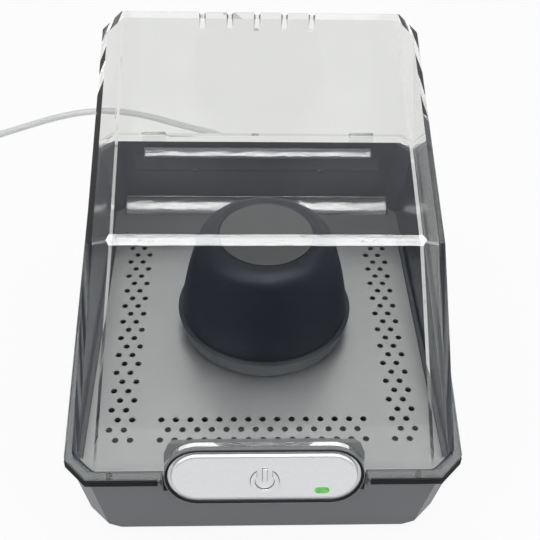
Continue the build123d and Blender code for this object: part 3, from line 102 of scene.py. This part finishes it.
def coil_points():
    """The wound turns: two rings side by side, four layers, out and in by turns."""
    start = math.atan2(CORD_ROUTE[-1][1] - COIL_CENTRE[1], CORD_ROUTE[-1][0] - COIL_CENTRE[0])
    extra = (start + math.pi / 2) / (2 * math.pi)
    steps = round((COIL_TURNS + extra) * COIL_POINTS)
    # A curve of this order runs inside its control points, so they stand a little outside the turn.
    swell = 1 / (0.5 * math.cos(math.pi / COIL_POINTS) + 0.375 + 0.125 * math.cos(2 * math.pi / COIL_POINTS))
    points = []
    for step in range(1, steps + 1):
        turns = step / COIL_POINTS
        turn = min(int(turns), COIL_TURNS)
        move = min(1.0, (turns - turn) / RING_CHANGE)
        before = COIL_RINGS[max(turn - 1, 0)]
        ring = before + (COIL_RINGS[turn] - before) * move
        layer_before = max(turn - 1, 0) // 2
        layer = layer_before + (min(turn, COIL_TURNS - 1) // 2 - layer_before) * move
        radius = (COIL_RADIUS + ring * CORD_DIAMETER / 2) * swell
        angle = start - 2 * math.pi * step * (COIL_TURNS + extra) / steps
        points.append((
            COIL_CENTRE[0] + radius * math.cos(angle),
            COIL_CENTRE[1] + radius * math.sin(angle),
            COIL_LOW + CORD_DIAMETER * layer,
        ))
    return points


def make_cord():
    """The whole cord from the plug to the adapter, as one round curve."""
    curve = bpy.data.curves.new("power_cord", "CURVE")
    curve.dimensions = "3D"
    # The depth is in millimetres, since each point's radius below scales it. A curve's box grows by
    # its points' radius, so that radius is kept small.
    curve.bevel_depth = CORD_DIAMETER / 2
    curve.bevel_resolution = 5
    curve.resolution_u = 5
    tail_start = (COIL_CENTRE[0] - TAIL_LEAD, TAIL_END[1], TAIL_END[2])
    points = list(CORD_ROUTE) + coil_points() + [tail_start, TAIL_END]
    spline = curve.splines.new("NURBS")
    spline.points.add(len(points) - 1)
    for point, place in zip(spline.points, points):
        point.co = (*mm(*place), 1.0)
        point.radius = MM
    spline.order_u = 3
    spline.use_endpoint_u = True
    cord = bpy.data.objects.new("power_cord", curve)
    bpy.context.scene.collection.objects.link(cord)
    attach(cord, "base")
    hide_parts("cord_lead", "cord_coil", "cord_tail")
    return cord


power_cord = make_cord()

# ---------------------------------------------------------------- stage and light
def plane_object(name, middle, across, up):
    """A flat card given by its middle and its two half-edges."""
    mesh = bpy.data.meshes.new(name)
    corners = [middle - across - up, middle + across - up, middle + across + up, middle - across + up]
    mesh.from_pydata(corners, [], [(0, 1, 2, 3)])
    card = bpy.data.objects.new(name, mesh)
    bpy.context.scene.collection.objects.link(card)
    return card


FLOOR_HALF = 4.0
FLOOR_GAP = 0.0004  # the floor lies this far under the feet
floor_middle = Vector((0, 0, -FLOOR_GAP))
floor = plane_object("floor", floor_middle, Vector((FLOOR_HALF, 0, 0)), Vector((0, FLOOR_HALF, 0)))
# A dark card in front, as in a photographer's tent, which the lid's front face mirrors.
dark_card = plane_object("dark_card", Vector((0, -0.62, 0.16)), Vector((1.3, 0, 0)), Vector((0, 0, 0.16)))
dark_card.visible_camera = False


def area_light(name, place, target, size, power, soft=True):
    """A rectangular lamp aimed at a point. One that isn't soft lights no matt surface."""
    data = bpy.data.lights.new(name, "AREA")
    data.shape = "RECTANGLE"
    data.size, data.size_y = size
    data.energy = power
    lamp = bpy.data.objects.new(name, data)
    aim = (target - place).to_track_quat("-Z", "Y").to_matrix().to_4x4()
    lamp.matrix_world = Matrix.Translation(place) @ aim
    lamp.visible_diffuse = soft
    bpy.context.scene.collection.objects.link(lamp)
    return lamp


BODY_MIDDLE = Vector((0, 0, 0.05))
area_light("overhead", Vector((0, 0.05, 0.85)), Vector((0, 0.02, 0.05)), (0.9, 0.5), 2.6)
area_light("left_front", Vector((-0.8, -0.6, 0.7)), BODY_MIDDLE, (0.5, 0.5), 2.4)
area_light("right_front", Vector((0.8, -0.5, 0.6)), BODY_MIDDLE, (0.5, 0.5), 1.6)
# A long tube lamp that only shows in glossy faces: it lights up the lid's crease and the cove.
CREASE_MIDDLE = mm(0, -43, 108)
area_light("tube", Vector((0.02, -0.42, 0.92)), CREASE_MIDDLE, (0.9, 0.12), 9.0, soft=False)
SKY = (1, 1, 1, 1)
FILL = (0.36, 0.37, 0.39, 1)  # light from all round on matt surfaces


def make_world():
    """White where it is looked at or mirrored, and a dimmer grey as a light."""
    world = bpy.data.worlds.new("studio")
    bpy.context.scene.world = world
    world.use_nodes = True
    tree = world.node_tree
    tree.nodes.clear()
    out = tree.nodes.new("ShaderNodeOutputWorld")
    seen = tree.nodes.new("ShaderNodeBackground")
    seen.inputs["Color"].default_value = SKY
    fill = tree.nodes.new("ShaderNodeBackground")
    fill.inputs["Color"].default_value = FILL
    mix = tree.nodes.new("ShaderNodeMixShader")
    tree.links.new(ray_kind(tree, "Is Camera Ray", "Is Transmission Ray", "Is Glossy Ray"), mix.inputs[0])
    tree.links.new(fill.outputs[0], mix.inputs[1])
    tree.links.new(seen.outputs[0], mix.inputs[2])
    tree.links.new(mix.outputs[0], out.inputs["Surface"])


def ray_kind(tree, *kinds):
    """One where the ray is of any of the named kinds, otherwise nothing."""
    path = tree.nodes.new("ShaderNodeLightPath")
    found = path.outputs[kinds[0]]
    for kind in kinds[1:]:
        either = tree.nodes.new("ShaderNodeMath")
        either.operation = "MAXIMUM"
        tree.links.new(found, either.inputs[0])
        tree.links.new(path.outputs[kind], either.inputs[1])
        found = either.outputs[0]
    return found


make_world()

# ---------------------------------------------------------------- shared shader groups
def group(name, inputs, outputs):
    """A new node group with its sockets, and its input and output nodes."""
    tree = bpy.data.node_groups.new(name, "ShaderNodeTree")
    for label, kind, value in inputs:
        socket = tree.interface.new_socket(label, in_out="INPUT", socket_type="NodeSocket" + kind)
        if value is not None:
            socket.default_value = value
    for label, kind in outputs:
        tree.interface.new_socket(label, in_out="OUTPUT", socket_type="NodeSocket" + kind)
    return tree, tree.nodes.new("NodeGroupInput"), tree.nodes.new("NodeGroupOutput")


def math_node(tree, operation, first, second=0.0, third=None):
    """A Math node whose inputs are sockets or plain numbers."""
    node = tree.nodes.new("ShaderNodeMath")
    node.operation = operation
    for slot_number, value in enumerate((first, second, third)):
        if value is None:
            continue
        if isinstance(value, (int, float)):
            node.inputs[slot_number].default_value = value
        else:
            tree.links.new(value, node.inputs[slot_number])
    return node.outputs[0]


def noise(tree, vector, scale, detail=2.0, roughness=0.5):
    """A Noise Texture whose scale is a socket or a plain number."""
    node = tree.nodes.new("ShaderNodeTexNoise")
    node.inputs["Detail"].default_value = detail
    node.inputs["Roughness"].default_value = roughness
    tree.links.new(vector, node.inputs["Vector"])
    if isinstance(scale, (int, float)):
        node.inputs["Scale"].default_value = scale
    else:
        tree.links.new(scale, node.inputs["Scale"])
    return node.outputs["Fac"]


def colour_mix(tree, factor, low, high):
    """A mix of two colours, each a socket or a plain colour."""
    node = tree.nodes.new("ShaderNodeMix")
    node.data_type = "RGBA"
    for label, value in (("Factor", factor), ("A", low), ("B", high)):
        if isinstance(value, (int, float, tuple)):
            node.inputs[label].default_value = value
        else:
            tree.links.new(value, node.inputs[label])
    return node.outputs["Result"]


GRAIN_DETAIL = 3.0
CLOUD_SCALE, CLOUD_DETAIL, CLOUD_SHARE = 38.0, 4.0, 0.7
BLEND_LOW, BLEND_HIGH = 0.6, 1.1  # the mixed noise keeps between these
WAVE_STRETCH = (0.45, 1.0, 1.0)
WAVE_DETAIL, WAVE_ROUGHNESS = 2.5, 0.55


def moulded_group():
    """Fine spark-eroded grain and soft uneven tone, as a steel mould leaves on plastic."""
    tree, inside, out = group(
        "moulded_surface",
        [
            ("Vector", "Vector", None), ("Grain", "Float", 900.0), ("Tone", "Color", None),
            ("Shade", "Color", None), ("Roughness", "Float", 0.4), ("Spread", "Float", 0.08),
        ],
        [("Color", "Color"), ("Roughness", "Float"), ("Height", "Float")],
    )
    take = inside.outputs
    grain = noise(tree, take["Vector"], take["Grain"], GRAIN_DETAIL)
    cloud = noise(tree, take["Vector"], CLOUD_SCALE, CLOUD_DETAIL)
    blend = math_node(tree, "MULTIPLY_ADD", cloud, CLOUD_SHARE, grain)
    level = tree.nodes.new("ShaderNodeMapRange")
    level.inputs["From Min"].default_value = BLEND_LOW
    level.inputs["From Max"].default_value = BLEND_HIGH
    tree.links.new(blend, level.inputs["Value"])
    rough = math_node(tree, "MULTIPLY_ADD", level.outputs[0], take["Spread"], take["Roughness"])
    tree.links.new(colour_mix(tree, level.outputs[0], take["Shade"], take["Tone"]), out.inputs["Color"])
    tree.links.new(rough, out.inputs["Roughness"])
    tree.links.new(grain, out.inputs["Height"])
    return tree


def ripple_group():
    """Shallow uneven waves, as on a glossy moulded wall, stretched along the width."""
    tree, inside, out = group(
        "rippled_gloss",
        [("Vector", "Vector", None), ("Scale", "Float", 70.0)],
        [("Height", "Float")],
    )
    stretch = tree.nodes.new("ShaderNodeMapping")
    stretch.inputs["Scale"].default_value = WAVE_STRETCH
    tree.links.new(inside.outputs["Vector"], stretch.inputs["Vector"])
    waves = noise(tree, stretch.outputs["Vector"], inside.outputs["Scale"], WAVE_DETAIL, WAVE_ROUGHNESS)
    tree.links.new(waves, out.inputs["Height"])
    return tree


def chamber_mask_group():
    """One on the faces inside the walls and above the tray's level, nothing elsewhere."""
    tree, inside, out = group(
        "chamber_mask",
        [
            ("Vector", "Vector", None), ("Side", "Float", 0.0), ("Front", "Float", 0.0),
            ("Rear", "Float", 0.0), ("RearCut", "Float", 0.0), ("FrontCut", "Float", 0.0),
            ("Low", "Float", 0.0),
        ],
        [("Inside", "Float")],
    )
    take = inside.outputs
    split = tree.nodes.new("ShaderNodeSeparateXYZ")
    tree.links.new(take["Vector"], split.inputs[0])
    height = split.outputs["Z"]
    back = split.outputs["Y"]
    width = math_node(tree, "ABSOLUTE", split.outputs["X"])
    lean_side = math_node(tree, "MULTIPLY_ADD", height, -math.tan(SIDE_DRAFT), width)
    lean_rear = math_node(tree, "MULTIPLY_ADD", height, -math.tan(REAR_DRAFT), back)
    ahead = math_node(tree, "MULTIPLY", back, -1.0)
    lean_front = math_node(tree, "MULTIPLY_ADD", height, -math.tan(FRONT_DRAFT), ahead)
    mask = math_node(tree, "LESS_THAN", lean_side, take["Side"])
    mask = math_node(tree, "MULTIPLY", mask, math_node(tree, "LESS_THAN", lean_rear, take["Rear"]))
    mask = math_node(tree, "MULTIPLY", mask, math_node(tree, "LESS_THAN", lean_front, take["Front"]))
    for along, slope, limit in ((back, REAR_CUT_SLOPE, "RearCut"), (ahead, FRONT_CUT_SLOPE, "FrontCut")):
        across = math_node(tree, "ADD", width, along)
        corner = math_node(tree, "MULTIPLY_ADD", height, -slope, across)
        mask = math_node(tree, "MULTIPLY", mask, math_node(tree, "LESS_THAN", corner, take[limit]))
    mask = math_node(tree, "MULTIPLY", mask, math_node(tree, "GREATER_THAN", height, take["Low"]))
    tree.links.new(mask, out.inputs["Inside"])
    return tree


# Walls of the casing, for the mask: how far each leans out going up, and how far out the middle
# of each wall would be at the table's level. At a cut corner, x and y are added.
SIDE_DRAFT = math.radians(7.1)
FRONT_DRAFT = math.radians(6.4)
REAR_DRAFT = math.radians(3.1)
REAR_CUT_SLOPE = 0.1775
FRONT_CUT_SLOPE = 0.2367
CHAMBER_SIDE = 0.0577
CHAMBER_FRONT = 0.0705
CHAMBER_REAR = 0.0686
CHAMBER_REAR_CUT = 0.1212
CHAMBER_FRONT_CUT = 0.1233
TRAY_TOP = 0.033
CHAMBER_LOW = TRAY_TOP + 0.0006
MOULDED = moulded_group()
RIPPLE = ripple_group()
CHAMBER = chamber_mask_group()


# ---------------------------------------------------------------- materials
def start_material(name):
    """A new node material, its Principled BSDF, and the object's own coordinates."""
    material = bpy.data.materials.new(name)
    material.use_nodes = True
    tree = material.node_tree
    shader = tree.nodes["Principled BSDF"]
    place = tree.nodes.new("ShaderNodeTexCoord")
    return material, tree, shader, place.outputs["Object"]


def use_group(tree, source, place, **values):
    """A shared group placed in a material, with its own values."""
    node = tree.nodes.new("ShaderNodeGroup")
    node.node_tree = source
    tree.links.new(place, node.inputs["Vector"])
    for label, value in values.items():
        node.inputs[label].default_value = value
    return node


def add_bump(tree, shader, height, distance, below=None):
    """Relief of the given height in millimetres, over any relief below it."""
    bump = tree.nodes.new("ShaderNodeBump")
    bump.inputs["Distance"].default_value = distance * MM
    tree.links.new(height, bump.inputs["Height"])
    if below is not None:
        tree.links.new(below, bump.inputs["Normal"])
    tree.links.new(bump.outputs["Normal"], shader.inputs["Normal"])
    return bump.outputs["Normal"]


def rgba(tone, scale=1.0):
    """A tone made lighter or darker, with full alpha."""
    return (tone[0] * scale, tone[1] * scale, tone[2] * scale, 1.0)


def moulded(
    name, tone, rough=0.4, grain=900.0, depth=0.02, contrast=0.12,
    metallic=0.0, coat=0.0, spread=0.08, specular=0.5,
):
    """A solid plastic, metal or rubber, with fine grain and slightly uneven tone and gloss."""
    material, tree, shader, place = start_material(name)
    shader.inputs["Metallic"].default_value = metallic
    shader.inputs["Coat Weight"].default_value = coat
    shader.inputs["Specular IOR Level"].default_value = specular
    node = use_group(tree, MOULDED, place, Grain=grain, Tone=rgba(tone, 1 + contrast / 2),
                     Shade=rgba(tone, 1 - contrast / 2), Roughness=rough, Spread=spread)
    tree.links.new(node.outputs["Color"], shader.inputs["Base Color"])
    tree.links.new(node.outputs["Roughness"], shader.inputs["Roughness"])
    add_bump(tree, shader, node.outputs["Height"], depth)
    return material


CASING_TONE = (0.130, 0.138, 0.148)
# Painted shade: the chamber walls are the casing's own plastic, drawn in this darker tone for the shade
# inside the chamber.
CHAMBER_SHADED_TONE = (0.020, 0.029, 0.052)
CHAMBER_GLOSS = 0.26  # how much less rough the walls are inside the chamber
WALL_WAVES = 0.35  # relief, in millimetres
STRIP_WAVES = 0.20
STRIP_WAVE_SCALE = 430.0
LENS_GLOW = 0.5
TABLE_GLOW = 0.92  # the rest is the shaded table


def casing():
    """Satin outside, glossier inside the chamber, where the walls are a little wavy and painted shade makes
    them darker.
    """
    material, tree, shader, place = start_material("dark satin casing")
    node = use_group(tree, MOULDED, place, Tone=rgba(CASING_TONE, 1.04), Shade=rgba(CASING_TONE, 0.96),
                     Roughness=0.40)
    mask = use_group(tree, CHAMBER, place, Side=CHAMBER_SIDE, Front=CHAMBER_FRONT, Rear=CHAMBER_REAR,
                     RearCut=CHAMBER_REAR_CUT, FrontCut=CHAMBER_FRONT_CUT, Low=CHAMBER_LOW)
    inner = mask.outputs["Inside"]
    # Painted shade: the masked chamber walls take the darker shaded tone.
    tone = colour_mix(tree, inner, node.outputs["Color"], rgba(CHAMBER_SHADED_TONE))
    tree.links.new(tone, shader.inputs["Base Color"])
    gloss = math_node(tree, "MULTIPLY", inner, -CHAMBER_GLOSS)
    tree.links.new(math_node(tree, "ADD", node.outputs["Roughness"], gloss), shader.inputs["Roughness"])
    normal = add_bump(tree, shader, node.outputs["Height"], 0.008)
    waves = use_group(tree, RIPPLE, place)
    height = math_node(tree, "MULTIPLY", waves.outputs["Height"], inner)
    add_bump(tree, shader, height, WALL_WAVES, normal)
    return material


def wavy_gloss():
    """Glossy dark moulding with shallow waves, which breaks a lamp's mirror image up. Its dark tone is the
    chamber walls' painted shade.
    """
    material, tree, shader, place = start_material("wavy gloss")
    node = use_group(tree, MOULDED, place, Tone=rgba(CHAMBER_SHADED_TONE, 1.1), Shade=rgba(CHAMBER_SHADED_TONE, 0.9),
                     Roughness=0.10, Spread=0.03)
    tree.links.new(node.outputs["Color"], shader.inputs["Base Color"])
    tree.links.new(node.outputs["Roughness"], shader.inputs["Roughness"])
    shader.inputs["Coat Weight"].default_value = 0.5
    waves = use_group(tree, RIPPLE, place, Scale=STRIP_WAVE_SCALE)
    add_bump(tree, shader, waves.outputs["Height"], STRIP_WAVES)
    return material


def clear(name, tone, rough=0.0, ior=1.49, depth=0.004, coat=0.0):
    """Clear plastic or glass, which lets light rays straight through so that what it covers is lit."""
    material, tree, shader, place = start_material(name)
    shader.inputs["Transmission Weight"].default_value = 1.0
    shader.inputs["IOR"].default_value = ior
    shader.inputs["Coat Weight"].default_value = coat
    node = use_group(tree, MOULDED, place, Grain=60.0, Tone=rgba(tone), Shade=rgba(tone, 0.985),
                     Roughness=rough, Spread=0.012)
    tree.links.new(node.outputs["Color"], shader.inputs["Base Color"])
    tree.links.new(node.outputs["Roughness"], shader.inputs["Roughness"])
    add_bump(tree, shader, node.outputs["Height"], depth)
    through = tree.nodes.new("ShaderNodeBsdfTransparent")
    through.inputs["Color"].default_value = rgba(tone)
    mix = tree.nodes.new("ShaderNodeMixShader")
    tree.links.new(ray_kind(tree, "Is Shadow Ray", "Is Diffuse Ray"), mix.inputs[0])
    tree.links.new(shader.outputs[0], mix.inputs[1])
    tree.links.new(through.outputs[0], mix.inputs[2])
    tree.links.new(mix.outputs[0], tree.nodes["Material Output"].inputs["Surface"])
    return material


def glowing_lens():
    """A clear green lens with its lamp lit behind it."""
    material, tree, shader, place = start_material("green lens")
    node = use_group(tree, MOULDED, place, Grain=700.0, Tone=rgba((0.16, 0.52, 0.11)),
                     Shade=rgba((0.07, 0.34, 0.06)), Roughness=0.15)
    tree.links.new(node.outputs["Color"], shader.inputs["Base Color"])
    tree.links.new(node.outputs["Roughness"], shader.inputs["Roughness"])
    tree.links.new(node.outputs["Color"], shader.inputs["Emission Color"])
    shader.inputs["Emission Strength"].default_value = LENS_GLOW
    add_bump(tree, shader, node.outputs["Height"], 0.05)
    return material


def table_top():
    """A white table, seen nearly white by the camera and in mirrors, with its shadows kept."""
    material, tree, shader, place = start_material("white table")
    node = use_group(tree, MOULDED, place, Tone=rgba((0.95, 0.95, 0.95)), Shade=rgba((0.93, 0.93, 0.93)))
    tree.links.new(node.outputs["Color"], shader.inputs["Base Color"])
    shader.inputs["Roughness"].default_value = 0.8
    shader.inputs["Specular IOR Level"].default_value = 0.1
    bright = tree.nodes.new("ShaderNodeEmission")
    bright.inputs["Color"].default_value = SKY
    mix = tree.nodes.new("ShaderNodeMixShader")
    seen = ray_kind(tree, "Is Camera Ray", "Is Transmission Ray", "Is Glossy Ray")
    tree.links.new(math_node(tree, "MULTIPLY", seen, TABLE_GLOW), mix.inputs[0])
    tree.links.new(shader.outputs[0], mix.inputs[1])
    tree.links.new(bright.outputs[0], mix.inputs[2])
    tree.links.new(mix.outputs[0], tree.nodes["Material Output"].inputs["Surface"])
    return material


# ---------------------------------------------------------------- pieces along the rear wall
REAR_WALL = 68.6  # inner face at the tray's level
WALL_LEAN = math.tan(REAR_DRAFT)
LAMP_FACING = 49.0  # slope of the faces that mirror the tube lamp
STRIP_WAVE = 0.03  # how far a strip's face waves in and out
COVE_OUT, COVE_LENGTH, COVE_SPREAD, COVE_HALF = 5.6, 8.4, -38.0, 57.5
COVE_LIFT = 0.02  # off the tray, so that the faces don't meet
COVE_BURIED = 0.8  # how far the cove's back stands in the wall
LEDGE_LOW, LEDGE_OUT, LEDGE_LENGTH, LEDGE_SPREAD, LEDGE_HALF = 59.9, 3.5, 5.0, 34.0, 48.0
LEDGE_EDGE = 0.1  # height of the ledge's front edge
LEDGE_BURIED = 0.6


def swept_strip(name, outline, half_length, wave, steps=160):
    """A moulded strip along the width: an open outline (y, z), waved a little, closed behind."""
    mesh = bpy.data.meshes.new(name)
    points = []
    for step in range(steps + 1):
        share = step / steps
        x = (2 * share - 1) * half_length
        for number, (y, z) in enumerate(outline):
            inner = 0 < number < len(outline) - 2
            swell = math.sin(x * 0.83) + 0.7 * math.sin(x * 1.71 + z) + 0.5 * math.sin(x * 0.37 - 1.3 * z)
            points.append(mm(x, y + (wave * swell if inner else 0), z))
    count = len(outline)
    faces = []
    for step in range(steps):
        for number in range(count):
            following = (number + 1) % count
            first = step * count
            beyond = first + count
            faces.append((first + number, beyond + number, beyond + following, first + following))
    faces.append(tuple(range(count)))
    faces.append(tuple(reversed(range(steps * count, (steps + 1) * count))))
    mesh.from_pydata(points, [], faces)
    mesh.update()
    for face in mesh.polygons:
        face.use_smooth = len(face.vertices) == 4
    strip = bpy.data.objects.new(name, mesh)
    bpy.context.scene.collection.objects.link(strip)
    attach(strip, "base")
    return strip


def curved_outline(start, length, middle, spread, steps=16):
    """Points (y, z) going up the wall, with most of the length facing the tube lamp."""
    y, z = start
    points = [(y, z)]
    for step in range(steps):
        share = 2 * (step + 0.5) / steps - 1
        facing = math.radians(middle + spread * share ** 3)
        y += length / steps * math.sin(facing)
        z += length / steps * math.cos(facing)
        points.append((y, z))
    return points


def rear_cove():
    """The rounded foot of the rear wall, from the shelf up to the wall."""
    foot = TRAY_TOP / MM + COVE_LIFT
    outline = curved_outline((REAR_WALL - COVE_OUT, foot), COVE_LENGTH, LAMP_FACING, COVE_SPREAD)
    outline.append((REAR_WALL + COVE_BURIED, outline[-1][1]))
    outline.append((REAR_WALL + COVE_BURIED, foot))
    return swept_strip("rear_cove", outline, COVE_HALF, STRIP_WAVE)


def rear_ledge():
    """The sloping ledge between the pane and the rim."""
    face = REAR_WALL + (LEDGE_LOW - TRAY_TOP / MM) * WALL_LEAN
    outline = [(face, LEDGE_LOW)]
    front = (face - LEDGE_OUT, LEDGE_LOW + LEDGE_EDGE)
    outline += curved_outline(front, LEDGE_LENGTH, LAMP_FACING, LEDGE_SPREAD)
    outline.append((face + LEDGE_BURIED, outline[-1][1]))
    outline.append((face + LEDGE_BURIED, LEDGE_LOW))
    return swept_strip("rear_ledge", outline, LEDGE_HALF, STRIP_WAVE)


# ---------------------------------------------------------------- painted shadow lines round the rim and the button
RIM_ANGLE = math.radians(11.1)
RIM_UP = Vector((0, -math.sin(RIM_ANGLE), math.cos(RIM_ANGLE)))
COLLAR_HALF = 34.5  # the rim's ribs stop here, beside the button's collar
REAR_STOP = 66.0
RIB_DEPTHS = (0.15, 1.35, 2.5)  # below the rim
RIB_RADIUS, GAP_RADIUS, MARK_LINE_RADIUS = 0.30, 0.42, 0.16
GAP_OUT = 1.1  # how much longer and higher than the button the gap's ring is
GAP_LIFT, GAP_SUNK = 0.1, 0.1
MARK_CLEAR = 0.05  # between the mark's sides and the middle of the fine lines
MARK_STEPS = 32
NEAR = 0.05 * MM  # corners this close are taken as level
BUTTON_TILT = math.radians(74.0)
BUTTON_MIDDLE = mm(0, -77.213, 36.1)
BUTTON_NORMAL = Vector((0, -math.sin(BUTTON_TILT), math.cos(BUTTON_TILT)))
BUTTON_UP = Vector((0, math.cos(BUTTON_TILT), math.sin(BUTTON_TILT)))
BUTTON_LENGTH, BUTTON_HEIGHT = 62.8, 19.4
MARK_RADIUS, MARK_WIDTH, MARK_DROP, MARK_GAP, BAR_LENGTH = 4.6, 1.4, 0.8, 5.2, 5.0


def tube_piece(name, runs, radius, closed, body):
    """Round ribs along straight-sided paths, joined in one mesh."""
    curve = bpy.data.curves.new(name, "CURVE")
    curve.dimensions = "3D"
    curve.bevel_depth = radius * MM
    curve.bevel_resolution = 2
    curve.use_fill_caps = True
    for run in runs:
        spline = curve.splines.new("POLY")
        spline.points.add(len(run) - 1)
        for point, place in zip(spline.points, run):
            point.co = (*place, 1.0)
        spline.use_cyclic_u = closed
    path = bpy.data.objects.new(name + "_path", curve)
    bpy.context.scene.collection.objects.link(path)
    depsgraph = bpy.context.evaluated_depsgraph_get()
    mesh = bpy.data.meshes.new_from_object(path.evaluated_get(depsgraph))
    bpy.data.objects.remove(path)
    for face in mesh.polygons:
        face.use_smooth = True
    piece = bpy.data.objects.new(name, mesh)
    bpy.context.scene.collection.objects.link(piece)
    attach(piece, body)
    return piece


def rim_shadow_ribs():
    """Three thin near-black ribs under the lid's flange, along the front and both sides: painted shadow for
    the shade in the gaps between the lid and the tub's rim.
    """
    corners = [vertex.co for vertex in frame["nodes"]["base_tub"].data.vertices]
    level = max(corner.dot(RIM_UP) for corner in corners)
    rim = [corner for corner in corners if corner.dot(RIM_UP) > level - NEAR]
    front = min(corner.y for corner in rim)
    cut_side = max(corner.x for corner in rim if corner.y < front + NEAR)
    turned = [corner for corner in rim if corner.x > cut_side + 2 * NEAR]
    turn = min(turned, key=lambda corner: corner.y - corner.x)
    rear = [corner for corner in rim if corner.y < REAR_STOP * MM]
    last = max(rear, key=lambda corner: corner.x)
    runs = []
    for depth in RIB_DEPTHS:
        for way in (1, -1):
            plan = ((COLLAR_HALF * MM, front), (cut_side, front), (turn.x, turn.y), (last.x, last.y))
            runs.append([
                (way * x, y, (level + y * math.sin(RIM_ANGLE)) / math.cos(RIM_ANGLE) - depth * MM)
                for x, y in plan
            ])
    return tube_piece("rim_shadow_ribs", runs, RIB_RADIUS, False, "base")


def on_button(across, up, rise):
    """A point given in millimetres across, up and out of the button's face."""
    return BUTTON_MIDDLE + Vector((across, 0, 0)) * MM + BUTTON_UP * up * MM + BUTTON_NORMAL * rise * MM


def slot_path(length, height, lift, rise, steps=14):
    """A closed stadium outline in the button's plane."""
    radius = height / 2
    half = length / 2 - radius
    path = []
    for side in (1, -1):
        for step in range(steps + 1):
            angle = math.pi * step / steps - math.pi / 2
            across = side * (half + radius * math.cos(angle))
            path.append(on_button(across, lift + side * radius * math.sin(angle), rise))
    return path


def button_gap_shadow():
    """A near-black ring in the gap between the button and its collar: painted shadow for the shade in the
    gap.
    """
    collar = frame["nodes"]["button_housing"].data.vertices
    rise = max((vertex.co - BUTTON_MIDDLE).dot(BUTTON_NORMAL) for vertex in collar) / MM
    path = slot_path(BUTTON_LENGTH + GAP_OUT, BUTTON_HEIGHT + GAP_OUT, GAP_LIFT, rise - GAP_SUNK)
    return tube_piece("button_gap_shadow", [path], GAP_RADIUS, True, "base")


def mark_foot_shadow():
    """Fine dark lines at the foot of the raised power mark: painted shade in the crease round the relief."""
    outer, inner = MARK_RADIUS + MARK_CLEAR, MARK_RADIUS - MARK_WIDTH - MARK_CLEAR
    ring = []
    for radius, way in ((outer, 1), (inner, -1)):
        start = math.asin(MARK_GAP / 2 / radius)
        for step in range(MARK_STEPS + 1):
            share = step / MARK_STEPS if way > 0 else 1 - step / MARK_STEPS
            angle = start + (2 * math.pi - 2 * start) * share
            up = radius * math.cos(angle) - MARK_DROP
            ring.append(on_button(radius * math.sin(angle), up, MARK_CLEAR))
    half = MARK_WIDTH / 2 + MARK_CLEAR
    top, foot = BAR_LENGTH - MARK_DROP, -MARK_DROP
    corners = ((half, foot), (half, top), (-half, top), (-half, foot))
    bar = [on_button(across, up, MARK_CLEAR) for across, up in corners]
    return tube_piece("mark_foot_shadow", [ring, bar], MARK_LINE_RADIUS, True, "button")


# ---------------------------------------------------------------- finishes
FINISH = {
    "tub_plastic": casing(),
    "tray_plastic": moulded("grey satin tray", (0.455, 0.46, 0.468), 0.30, grain=1400, contrast=0.08,
                            metallic=0.85),
    "pod_plastic": moulded("grey collar", (0.28, 0.29, 0.30), 0.42, specular=0.3),
    "button_silver": moulded("silver paint", (0.90, 0.905, 0.91), 0.28, grain=900, depth=0.0005,
                             contrast=0.04, metallic=0.45),
    "lens_green": glowing_lens(),
    "switch_plastic": moulded("black switch", (0.03, 0.03, 0.032), 0.4),
    "led_epoxy": clear("green epoxy", (0.2, 0.85, 0.3), 0.1),
    "circuit_board": moulded("solder resist", (0.02, 0.12, 0.05), 0.3, grain=300, coat=0.4),
    "component_plastic": moulded("black component", (0.025, 0.025, 0.028), 0.45),
    "fan_plastic": moulded("black fan", (0.02, 0.02, 0.022), 0.4),
    "heat_plastic": moulded("pale heat-proof plastic", (0.62, 0.58, 0.50), 0.5),
    "fin_aluminium": moulded("bare aluminium", (0.70, 0.71, 0.72), 0.32, metallic=1.0),
    "ceramic": moulded("fired ceramic", (0.42, 0.38, 0.33), 0.6),
    "screw_steel": moulded("zinc steel", (0.55, 0.56, 0.57), 0.3, metallic=1.0),
    "lead_insulation": moulded("red insulation", (0.42, 0.03, 0.025), 0.45),
    "foot_rubber": moulded("black rubber", (0.02, 0.02, 0.02), 0.7, depth=0.04),
    "lamp_pane": moulded("smoked pane", (0.034, 0.045, 0.075), 0.12, spread=0.04),
    "lamp_glass": moulded("frosted tube", (0.75, 0.78, 0.84), 0.25),
    "lid_clear": clear("smoke clear lid", (0.88, 0.885, 0.875), 0.0, ior=1.20, coat=0.3),
    "ring_plastic": moulded("dark ring", (0.050, 0.056, 0.067), 0.45, specular=0.3),
    "pedestal_plastic": moulded("blue black dome", (0.012, 0.016, 0.027), 0.5, specular=0.25),
    "pad_grey": moulded("grey pad", (0.088, 0.088, 0.093), 0.6),
    "cord_white": moulded("white cord", (0.80, 0.80, 0.79), 0.4),
    "tie_white": moulded("white tie", (0.72, 0.72, 0.71), 0.4),
    "adapter_plastic": moulded("white adapter", (0.82, 0.82, 0.81), 0.45),
    "blade_metal": moulded("plated brass", (0.75, 0.72, 0.66), 0.25, metallic=1.0),
}
SLOTS = {entry["node"]: entry["material_slot"] for entry in frame["record"]["subparts"]}
for name, node in frame["nodes"].items():
    node.data.materials.clear()
    node.data.materials.append(FINISH[SLOTS[name]])
power_cord.data.materials.append(FINISH["cord_white"])
for strip in (rear_cove(), rear_ledge()):
    strip.data.materials.append(wavy_gloss())
# These three line pieces are near-black: painted shadow in the gaps at the rim, round the button and at the
# foot of the power mark.
for line, tone in ((rim_shadow_ribs(), 0.012), (button_gap_shadow(), 0.006), (mark_foot_shadow(), 0.10)):
    line.data.materials.append(moulded(line.name, (tone, tone, tone * 1.1), 0.5, specular=0.2))
floor.data.materials.append(table_top())
dark_card.data.materials.append(moulded("black cloth", (0.02, 0.02, 0.022), 0.9, specular=0.1))

bpy.context.scene.view_settings.view_transform = "Standard"
